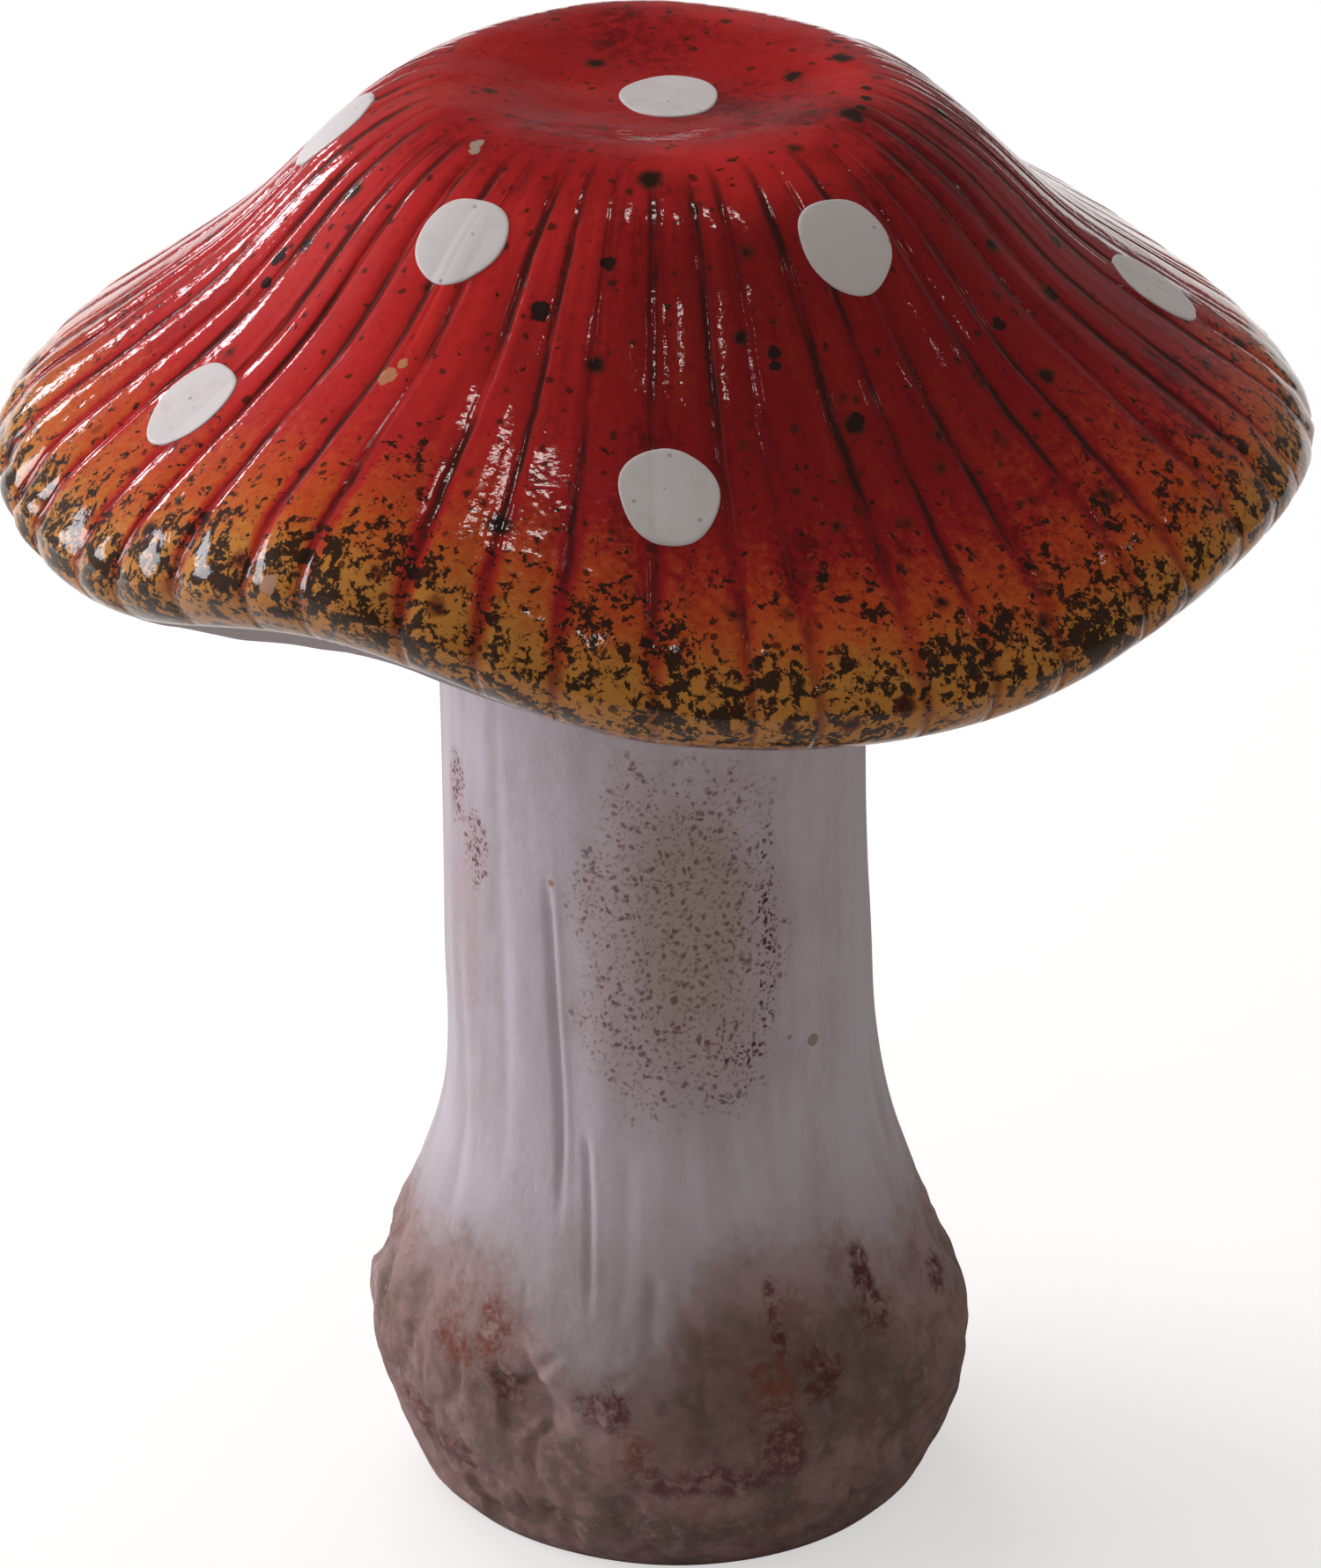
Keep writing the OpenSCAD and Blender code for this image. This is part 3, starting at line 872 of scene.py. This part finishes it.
    def filled(self, t: Array, turn: Array) -> Array:
        """Share of the grooves' depth that is left under the spots' paint.

        It eases from the fill inside a spot's edge to 1 a little outside it. The least of all spots holds.

        Args:
            t: Stations.
            turn: Turns.

        Returns:
            Shares, which are 1 away from the spots.
        """
        left = np.ones(np.broadcast(t, turn).shape)
        for at, middle in self.upper_spots + self.lower_spots:
            down = self.arc_at(t) - self.arc_at(at)
            away = np.hypot(down, np.radians(off_turn(turn, middle)) * self.radius_at(t))
            open_share = ease((away - self.spot_radius + 0.5) / 1.5)
            left = np.minimum(left, self.spot_fill + (1 - self.spot_fill) * open_share)
        return left

    def relief(self, t: Array, phase: Array) -> Array:
        """Depth of the modelled clay below the plain surface.

        On the flank a groove is a bell curve of its distance, between ribs that are nearly flat. At the brim
        it is the cusp of a rounded pleat: one less a power of the rib's sine. Finer folds run along the ribs,
        and slow clouds leave the crown and the brim uneven.

        Args:
            t: Stations.
            phase: Places counted in ribs.

        Returns:
            Depths in millimetres.
        """
        turn = self.turn_of(phase)
        vigour = self.vigour(turn)
        r = self.radius_at(t)
        depth = np.interp(phase, self.grooves, self.groove_depths)
        bent = phase + 0.10 * cloud(phase / 2, t * 0.8, self.ribs // 2, 5) * ease((t - 2) / 2)
        gap = np.abs(bent - np.round(bent)) * 2 * np.pi * r / self.ribs
        bell = np.exp(-((gap / (0.9 + 0.4 * vigour)) ** 1.6))
        narrow = self.bell_share * bell + self.cusp_share * (1 - np.abs(np.sin(np.pi * bent)))
        pleat = 1 - np.abs(np.sin(np.pi * bent)) ** 0.72
        rounded = ease((t - 6.8) / 2.4)
        worn = 0.75 + 0.35 * cloud(phase, t * 0.9, self.ribs, 43)
        young = 0.6 + 0.4 * ease((t - 3.5) / 1.5)
        lines = narrow * (1 - rounded) * worn * young * (0.34 + 0.26 * vigour)
        grooves = self.rib_depth * depth * self.strength(t) * (lines + pleat * rounded * vigour)
        flank = ease((t - 2.7) / 0.9) * (1 - ease((t - 6.2) / 2.5))
        fold = 1 - np.abs(cloud(phase * 2, t * 0.45 + 3, self.ribs * 2, 11))
        ripple = self.ripple_depth * (1 + cloud(phase * 4, t * 0.9, self.ribs * 4, 17))
        folds = flank * (self.fold_depth * fold**3 + ripple)
        a = np.radians(turn)
        hand = 1 + layered(r * np.sin(a) / 26, r * np.cos(a) / 26, 4096, 23, 3)
        crown = (1 - ease((t - 2.8) / 1.2)) * ease(t / 0.5) * self.crown_unevenness * hand
        brim = ease((t - 6) / 2) * self.strength(np.maximum(t, self.brim_at)) * self.brim_unevenness
        brim = brim * (1 + cloud(phase * 1.5, t * 1.5, self.ribs * 3 // 2, 31))
        return (grooves + folds) * self.filled(t, turn) + crown + brim

    def surface(self, t: Array, phase: Array) -> Array:
        """The modelled outer surface at stations and places counted in ribs."""
        return self.point(t, self.turn_of(phase), self.relief(t, phase))

    def shell(self) -> bpy.types.Object:
        """The glazed shell: its outer surface in fine rows, and its inner wall in coarse ones."""
        cols = self.ribs * self.columns_a_rib
        phase = np.arange(cols) / self.columns_a_rib
        ends = self.arc_at([self.pole_at, self.glaze_end_at])
        outer = self.station_at(np.linspace(*ends, self.rows))
        inner = np.array([self.glaze_end_at, 10, 8.5, 7, 6, 5, 4, 3, 2, 1, self.pole_at], float)
        outside = self.surface(*crossed(outer, phase))
        inside = self.point(*crossed(inner, self.turn_of(phase)), self.wall)
        stations, ribs = crossed(np.concatenate([outer, inner]), np.arange(cols + 1) / self.columns_a_rib)
        rings, uv = np.concatenate([outside, inside]), np.stack([ribs, stations], -1)
        top = self.point(0.0, 0.0, 0.0)
        return turned_mesh("glazed_shell", rings, (top, top - (0, 0, self.wall)), uv)

    def underside(self) -> bpy.types.Object:
        """The bare soffit: outer face, flat seat, throat wall and upper face as one closed ring."""
        turns = self.turn_of(np.arange(self.ribs * 8) / 8)
        t, turn = crossed(np.linspace(self.glaze_end_at, self.last, 60), turns)
        outer = self.point(t, turn, 0.0)
        ends = ease((t - self.glaze_end_at) / 0.4) * ease((self.last - t) / 0.4)
        outer[..., 2] += self.soffit_unevenness * layered(turn / 9, t * 1.4, 40, 41) * ends
        throat = [place(self.throat, turns, z) for z in (self.seat_z, self.seat_z + self.wall)]
        back = np.linspace(self.last, self.glaze_end_at, 14)
        inner = self.point(*crossed(back, turns), self.wall)
        return turned_mesh("bare_soffit", np.concatenate([outer, np.stack(throat), inner]))

    def spot(self, name: str, t: float, turn: float, seed: int) -> bpy.types.Object:
        """A spot on the ribs: a round of paint laid on the modelled surface, with a rounded edge.

        Args:
            name: The object's name.
            t: The station of its middle.
            turn: The turn of its middle.
            seed: Shapes its hand-masked outline.

        Returns:
            The closed skin.
        """
        arc = self.arc_at(t)

        def on_ribs(across: Array, down: Array) -> tuple[Array, Array]:
            """Stations and turns of places measured from the middle, in millimetres."""
            at = self.station_at(arc + down)
            return at, turn + np.degrees(across / self.radius_at(at))

        return self.paint(name, on_ribs, seed)

    def crown_spot(self, name: str, seed: int) -> bpy.types.Object:
        """The spot in the dish of the crown, which lies a little off the axis."""
        dish = self.stations[:200]

        def on_crown(across: Array, down: Array) -> tuple[Array, Array]:
            """Stations and turns of places measured from the middle, in millimetres."""
            px, py = 3 + across, 1 - 1.04 * down
            at = np.interp(np.hypot(px, py), self.radius_at(dish), dish)
            return at, np.degrees(np.arctan2(px, -py))

        return self.paint(name, on_crown, seed)

    def paint(
        self, name: str, mapping: Callable[[Array, Array], tuple[Array, Array]], seed: int
    ) -> bpy.types.Object:
        """A spot's skin: rings of a round whose radius wavers with two sines, lifted along the normal.

        Args:
            name: The object's name.
            mapping: Gives stations and turns of flat places, in millimetres.
            seed: Shapes the outline.

        Returns:
            The closed skin.
        """
        a = np.radians(np.arange(self.spot_columns) * 360 / self.spot_columns)
        three, five = 3 * a + math.radians(80 * seed), 5 * a + math.radians(47 * seed)
        uneven = 1 + 0.02 * np.sin(three) + 0.015 * np.sin(five)
        top, edge, back = np.linspace(0.04, 0.94, 22), [0.975, 0.995, 1.0, 1.0], np.linspace(0.94, 0.04, 8)
        lifts = np.concatenate([np.full(22, 1.0), [0.9, 0.6, 0.1, -0.8], np.full(8, -0.8)]) * self.spot_height
        reach = np.concatenate([top, edge, back])[:, None] * self.spot_radius * uneven
        t, turn = mapping(0.95 * reach * np.sin(a), 1.02 * reach * np.cos(a))
        n = self.normal(t)
        lifted = place(n[..., 0], turn, n[..., 1]) * lifts[:, None, None]
        rings = self.surface(t, self.phase_of(turn)) + lifted
        return turned_mesh(name, rings, (rings[0].mean(0), rings[-1].mean(0)))

    def build(self) -> list[Piece]:
        """All the cap's pieces, with the nodes that each replaces and its slot."""
        made = [(self.shell(), ["cap_shell"], Slot.GLAZE), (self.underside(), ["cap_underside"], Slot.CLAY)]
        made.append((self.crown_spot("white_crown_spot", 5), ["spot_crown"], Slot.SPOT))
        for row, spots, first in (("upper", self.upper_spots, 0), ("lower", self.lower_spots, 5)):
            for i, (at, turn) in enumerate(spots, 1):
                spot = self.spot(f"white_{row}_spot_{i}", at, turn, first + i)
                made.append((spot, [f"spot_{row}_{i}"], Slot.SPOT))
        return made


@dataclass(frozen=True)
class Crease:
    """A tooled line down the stem, from a high to a low point: turns in degrees, the rest in millimetres.
    A lip is raised beside it, towards larger turns."""

    high_turn: float
    high_z: float
    low_turn: float
    low_z: float
    width: float
    depth: float
    lip: float = 0.0

    def cut(self, turn: Array, z: Array, r: Array) -> Array:
        """Depth of the line: a bell curve across it, tapered at both ends, less a second one for the lip.

        Args:
            turn: Turns.
            z: Heights.
            r: Plain radii.

        Returns:
            Depths in millimetres.
        """
        u = (z - self.low_z) / (self.high_z - self.low_z)
        middle = self.low_turn + (self.high_turn - self.low_turn) * u
        across = np.radians(off_turn(turn, middle)) * r
        taper = ease(u / 0.25) * ease((1 - u) / 0.15)
        line = np.exp(-((across / self.width) ** 2))
        ridge = np.exp(-(((across - 2.1 * self.width) / (0.9 * self.width)) ** 2))
        return taper * (self.depth * line - self.lip * ridge)


@dataclass
class Stem:
    """The hollow stem, with the sizes of the part's source and the modelling that the clay shows."""

    height: float = 216
    neck: float = 43
    bulb: float = 60.5
    bulb_height: float = 98
    foot: float = 48.5
    lean: float = 4
    wall: float = 7
    mouth: float = 35
    mouth_depth: float = 40
    floor_radius: float = 40
    floor_top: float = 9
    columns: int = 456
    rows: int = 200
    lump_height: float = 2.4
    flute_depth: float = 0.35
    trough_depth: float = 0.8
    knob_height: float = 0.9
    knob_inset: float = 0.7
    seam_depth: float = 1.5
    pit_depth: float = 1.6

    neck_shares: Rows = ((1, 0), (0.82, 0), (0.57, -0.025), (0.36, -0.015), (0.17, 0.015), (0, 0.04))
    bulb_shares: Rows = (
        (0.816, 0.17), (0.633, 0.47), (0.469, 0.885), (0.306, 1), (0.163, 0.875), (0.051, 0.59),
    )
    lumps: Rows = (
        (-88, 0.47, 26, 1), (-55, 0.24, 24, -0.5), (-20, 0.44, 16, 0.45), (-24, 0.30, 14, -0.8),
        (18, 0.38, 22, 0.5), (52, 0.55, 20, 0.5), (80, 0.34, 26, 0.5), (118, 0.30, 26, -0.5),
        (160, 0.45, 28, 0.6), (-140, 0.30, 28, -0.5),
    )
    creases: Rows = (
        (-31, 152, -27.5, 70, 0.9, 1.1, 0.22), (-21, 96, -17.5, 56, 0.8, 0.8, 0.15),
        (-48, 200, -46, 70, 2.0, 0.4, 0.05), (8, 205, 7, 52, 2.4, 0.25, 0.05),
        (-9, 92, -10, 56, 1.6, 0.3, 0.05), (42, 190, 40, 62, 1.8, 0.3, 0.1),
        (53, 150, 52, 70, 1.6, 0.3, 0.1), (-70, 130, -62, 58, 2.0, 0.5, 0.1),
        (75, 200, 78, 60, 2.2, 0.5, 0.2), (100, 160, 104, 60, 1.4, 0.8, 0.3),
        (140, 195, 137, 66, 2.0, 0.6, 0.2), (178, 150, 176, 62, 1.4, 0.8, 0.3),
        (-150, 200, -147, 64, 1.8, 0.6, 0.2),
        (-118, 165, -121, 60, 1.4, 0.7, 0.2), (-95, 200, -93, 90, 1.6, 0.5, 0.2),
        (-23, 51, -33, 41, 1.6, 1.2, 0.3), (-3, 68, -5, 50, 1.3, 0.8, 0.1), (-6, 51, -14, 44, 1.6, 0.6, 0.1),
    )

    def __post_init__(self) -> None:
        """Works out the outline."""
        span, rest = self.bulb - self.neck, self.height - self.bulb_height
        neck = [(self.neck + share * span, self.bulb_height + h * rest) for h, share in self.neck_shares]
        bulb = [(self.neck + share * span, h * self.bulb_height) for h, share in self.bulb_shares]
        self.profile = np.array([*neck, *bulb, (self.foot, 0)], float)

    def lean_at(self, z: Array) -> Array:
        """Sideways place of the stem's axis at a height."""
        return self.lean * ease(1 - z / (self.height - self.mouth_depth))

    def radius_at(self, z: Array) -> Array:
        """Plain radius at a height."""
        order = np.argsort(self.profile[:, 1])
        return np.interp(z, self.profile[order, 1], self.profile[order, 0])

    def lump_at(self, turn: Array, z: Array) -> Array:
        """Lumps and dents: eased mounds over turn and height."""
        tall = 0.44 * self.bulb_height
        made = 0.0
        for at, high, spread, share in self.lumps:
            beside = ease(1 - np.abs(off_turn(turn, at)) / (2 * spread))
            made = made + share * beside * ease(1 - np.abs(z - high * self.bulb_height) / tall)
        return self.lump_height * made

    def relief(self, turn: Array, z: Array, r: Array) -> Array:
        """Depth of the modelled clay: flutes and a broad trough down the neck, tooled lines, and a bulb of
        pressed lumps. A lump ends in a seam: one less the size of a cloud, to the third power.

        Args:
            turn: Turns.
            z: Heights.
            r: Plain radii.

        Returns:
            Depths in millimetres.
        """
        flutes = self.flute_depth * (1 + layered(turn / 360 * 22, z / 70, 22, 61, 3)) * ease((z - 40) / 60)
        sunk = np.sin(np.pi * np.clip((z - 65) / 95, 0, 1))
        trough = self.trough_depth * ease(1 - np.abs(off_turn(turn, -27)) / 14) * sunk
        lines = sum(Crease(*row).cut(turn, z, r) for row in self.creases)
        low = (1 - ease((z - 46) / 24)) * ease(z / 6)
        knobs = self.knob_inset + layered(turn / 360 * 22, z / 17, 22, 71, 5) * self.knob_height
        seams = self.seam_depth * (1 - np.abs(layered(turn / 360 * 20, z / 19, 20, 97, 3))) ** 3
        pits = self.pit_depth * ease((layered(turn / 360 * 32, z / 12, 32, 83, 4) - 0.4) / 0.5)
        return flutes + trough + lines + low * (knobs + seams + pits)

    def outer(self, t: Array, turn: Array) -> Array:
        """The modelled outer surface at stations of the outline. The relief dies out at the mouth."""
        p = along(self.profile, t)
        r, z = p[..., 0], p[..., 1]
        whole = r + self.lump_at(turn, z) - self.relief(turn, z, r) * ease((self.height - z) / 3)
        return place(whole, turn, z) + place(self.lean_at(z), 90.0, 0.0 * z)

    def build(self) -> list[Piece]:
        """The stem as one closed wall: outside, foot ring, floor seat, chamber and mouth."""
        turn = np.arange(self.columns) * 360 / self.columns
        fine = np.linspace(0, len(self.profile) - 1, 4001)
        arcs = lengths(self.profile, fine)
        t = np.interp(np.linspace(0, arcs[-1], self.rows), arcs, fine)
        outside = self.outer(*crossed(t, turn))
        ledge = self.height - self.mouth_depth
        heights = np.linspace(self.floor_top, ledge, 13)
        chamber = zip(self.radius_at(heights) - self.wall, heights)
        inside = [(self.floor_radius, 0), (self.floor_radius, self.floor_top), *chamber]
        inside += [(self.mouth, ledge), (self.mouth, self.height)]
        rings = [place(r, turn, z) + (self.lean_at(z), 0, 0) for r, z in inside]
        wall = turned_mesh("whitewashed_stem", np.concatenate([outside, np.stack(rings)]))
        return [(wall, ["stem_shell"], Slot.WASH)]


# The stage


def aimed(
    name: str, data: bpy.types.ID, target: Vector, turn: float, elevation: float, away: float
) -> bpy.types.Object:
    """Sets up a lamp or a camera, so that it faces a target.

    Args:
        name: The object's name.
        data: Its lamp or camera data.
        target: What it faces, in metres.
        turn: Its turn round the target.
        elevation: Its elevation in degrees.
        away: Its distance in metres.

    Returns:
        The object.
    """
    a, e = math.radians(turn), math.radians(elevation)
    toward = Vector((math.sin(a) * math.cos(e), -math.cos(a) * math.cos(e), math.sin(e)))
    made = bpy.data.objects.new(name, data)
    made.location = target + toward * away
    made.rotation_mode = "QUATERNION"
    made.rotation_quaternion = toward.to_track_quat("Z", "Y")
    bpy.context.scene.collection.objects.link(made)
    return made


@dataclass(frozen=True)
class Lamp:
    """A soft box: its turn and elevation in degrees, its distance, width and height in metres, its watts
    and its colour, and whether the glaze mirrors it."""

    name: str
    turn: float
    elevation: float
    away: float
    width: float
    height: float
    watts: float
    colour: Colour
    mirrored: bool = True

    def build(self, target: Vector) -> None:
        """Adds the lamp, which the camera doesn't see."""
        data = bpy.data.lights.new(self.name, "AREA")
        data.shape = "RECTANGLE"
        data.size, data.size_y = self.width, self.height
        data.energy = self.watts
        data.color = self.colour
        made = aimed(self.name, data, target, self.turn, self.elevation, self.away)
        made.visible_camera = False
        made.visible_glossy = self.mirrored


@dataclass
class Studio:
    """Floor, lights, backdrop and the camera at the photograph's angle."""

    distance: float = 2.0
    elevation: float = 26.0
    lens: float = 272.5
    target: tuple[float, float, float] = (0.0013, 0.0, 0.1523)
    lit_at: float = 0.2
    floor_reach: float = 3.0
    floor_grey: Colour = (0.62, 0.61, 0.60)
    floor_glow: float = 0.55
    white: Colour = (1.0, 1.0, 1.0)
    room_front: Colour = (0.07, 0.065, 0.065)
    room_back: Colour = (0.14, 0.135, 0.135)
    room_left: Colour = (0.32, 0.31, 0.33)
    light_low: Colour = (0.53, 0.48, 0.455)
    light_high: Colour = (0.26, 0.247, 0.24)
    lamps: tuple[Lamp, ...] = (
        Lamp("wall", -98, 16, 2.0, 2.2, 1.7, 22, (0.97, 0.95, 1.0), False),
        Lamp("skylight", -150, 50, 2.0, 1.4, 1.2, 15, (1.0, 0.98, 0.97), False),
        Lamp("window", -147, 8, 2.0, 0.12, 0.32, 0.95, (0.95, 0.93, 1.0)),
        Lamp("side_pane", -106, 17, 2.0, 1.1, 0.4, 9.5, (0.96, 0.95, 1.0)),
        Lamp("front_pane", 17, 61, 1.8, 0.06, 0.06, 0.18, (1.0, 0.98, 0.95)),
        Lamp("right_pane", 92, 45, 2.0, 0.04, 0.05, 0.09, (1.0, 0.98, 0.95)),
        Lamp("ceiling", 85, 83, 1.6, 0.055, 0.36, 0.85, (1.0, 0.97, 0.93)),
    )

    def camera(self) -> None:
        """Places the camera."""
        data = bpy.data.cameras.new("camera")
        data.lens = self.lens
        data.sensor_fit = "HORIZONTAL"
        data.sensor_width = 36
        data.clip_start, data.clip_end = 0.01, 100
        made = aimed("camera", data, Vector(self.target), 0.0, self.elevation, self.distance)
        bpy.context.scene.camera = made

    def world(self) -> None:
        """A plain room. The camera sees white. Gloss sees a lighter wall behind the object, one at its
        left, and a dim ceiling and front. Everything else is lit by an even, warm grey."""
        world = bpy.data.worlds.new("room")
        bpy.context.scene.world = world
        world.use_nodes = True
        g = Graph(world.node_tree)
        x, y, z = g.parts(g.node("ShaderNodeTexCoord", {}, output="Generated"))
        camera, gloss, clear = g.rays()
        behind = y.rise(0.0, 0.7) * (1 - z.rise(0.2, 0.6))
        beside = (x * -1.0).rise(0.3, 0.9) * (1 - z.rise(0.3, 0.8))
        room = g.coats(self.room_front, (self.room_back, behind), (self.room_left, beside))
        light = g.mix(self.light_low, self.light_high, z.rise(0.0, 0.6))
        level = g.coats(light, (room, gloss.high(clear)), (self.white, camera))
        g.tree.links.new(level.socket, g.tree.nodes["Background"].inputs["Color"])

    def floor(self) -> None:
        """A wide pale floor that shows the object's shadow. To the camera, and to gloss behind the
        object, it glows a little, and far away it is as white as the room."""
        far = self.floor_reach
        mesh = bpy.data.meshes.new("floor")
        mesh.from_pydata([(-far, -far, 0), (far, -far, 0), (far, far, 0), (-far, far, 0)], [], [(0, 1, 2, 3)])
        made = bpy.data.objects.new("floor", mesh)
        bpy.context.scene.collection.objects.link(made)
        g = Graph.for_finish("floor")
        at = g.object_place()
        _, y, _ = g.parts(at)
        camera, gloss, clear = g.rays()
        seen = camera.high(gloss.high(clear) * y.rise(0.0, 0.6))
        outer = g.vector("LENGTH", at, output="Value").rise(0.8, 2.4)
        strength = seen * self.floor_glow + camera * outer * (1 - self.floor_glow)
        glow = g.node("ShaderNodeEmission", {}, self.white, strength)
        plain = g.node("ShaderNodeBsdfDiffuse", {}, self.floor_grey)
        both = g.node("ShaderNodeAddShader", {}, plain, glow)
        g.tree.links.new(both.socket, g.tree.nodes["Material Output"].inputs["Surface"])
        g.tree.nodes.remove(g.shader)
        mesh.materials.append(g.material)

    def build(self) -> None:
        """Sets the stage."""
        bpy.context.scene.view_settings.view_transform = "Standard"
        self.camera()
        self.world()
        self.floor()
        for lamp in self.lamps:
            lamp.build(Vector((0, 0, self.lit_at)))


@dataclass
class Toadstool:
    """The whole ornament: builds each part and dresses it."""

    cap: Cap
    stem: Stem
    tan: Colour = (0.5, 0.2, 0.1)
    pale: Colour = (0.36, 0.26, 0.2)
    bare: Colour = (0.45, 0.25, 0.17)
    iron: Colour = (0.03, 0.012, 0.01)
    amber: Colour = (0.42, 0.2, 0.1)
    moss: Colour = (0.26, 0.23, 0.15)
    sand: Colour = (0.3, 0.24, 0.17)

    def drops(self) -> tuple[Chip, ...]:
        """Drops of glaze on the neck, each at a turn and a height, and sunk a little into it."""
        rows = ((-29.5, 148.3, 0.8, self.amber), (45, 110.5, 1.3, self.moss), (37, 113, 0.5, self.sand))
        made = []
        for turn, z, size, colour in rows:
            at = place(self.stem.radius_at(z) - 0.6, turn, z) + (self.stem.lean_at(z), 0, 0)
            made.append(Chip(*at.tolist(), size, colour))
        return tuple(made)

    def chips(self) -> tuple[Chip, ...]:
        """Flakes and marks in the glaze, each on the surface at a station and a turn."""
        tan, pale, iron = self.tan, self.pale, self.iron
        rows = (
            (5.19, -35.2, 1.8, tan), (5.05, -34.2, 1.0, tan), (2.85, -49, 1.3, pale),
            (2.98, -47.4, 1.0, pale), (9.0, -34, 1.7, self.bare), (2.58, 86, 0.9, iron),
            (2.62, 79, 1.1, iron), (2.64, 72, 1.0, iron), (2.74, 65, 0.9, iron),
            (4.43, -17.5, 1.9, iron), (4.0, -7.8, 1.3, iron), (4.67, -71.2, 1.8, iron),
            (4.5, -67.5, 1.5, iron), (4.84, -69.4, 1.2, iron), (5.14, 26.5, 1.2, iron),
            (4.8, 80.5, 1.4, iron), (4.91, 54, 1.3, iron), (4.63, 17.5, 1.2, iron),
            (4.71, 17.2, 1.0, iron),
        )
        made = []
        for t, turn, size, colour in rows:
            at = self.cap.surface(t, self.cap.phase_of(turn))
            made.append(Chip(*at.tolist(), size, colour))
        return tuple(made)

    def build(self) -> None:
        """Builds the pieces, seats each on its body and gives it its finish."""
        finishes = {
            Slot.GLAZE: Glaze().material(self.chips()),
            Slot.CLAY: BareClay().material(),
            Slot.WASH: Whitewash().material(self.drops()),
            Slot.SPOT: SpotPaint().material(),
        }
        for body, pieces in ((Body.CAP, self.cap.build()), (Body.STEM, self.stem.build())):
            for piece, nodes, slot in pieces:
                piece.data.materials.append(finishes[slot])
                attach(piece, body.value)
                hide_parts(*nodes)
                LOG.info("%s: %d faces", piece.name, len(piece.data.polygons))
        for node in ("cap_collar", "stem_floor"):
            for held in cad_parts[node].material_slots:
                held.material = finishes[Slot.CLAY]


def main() -> None:
    """Builds the toadstool and its stage."""
    logging.basicConfig(level=logging.INFO)
    Toadstool(Cap(), Stem()).build()
    Studio().build()


if __name__ == "__main__":
    main()
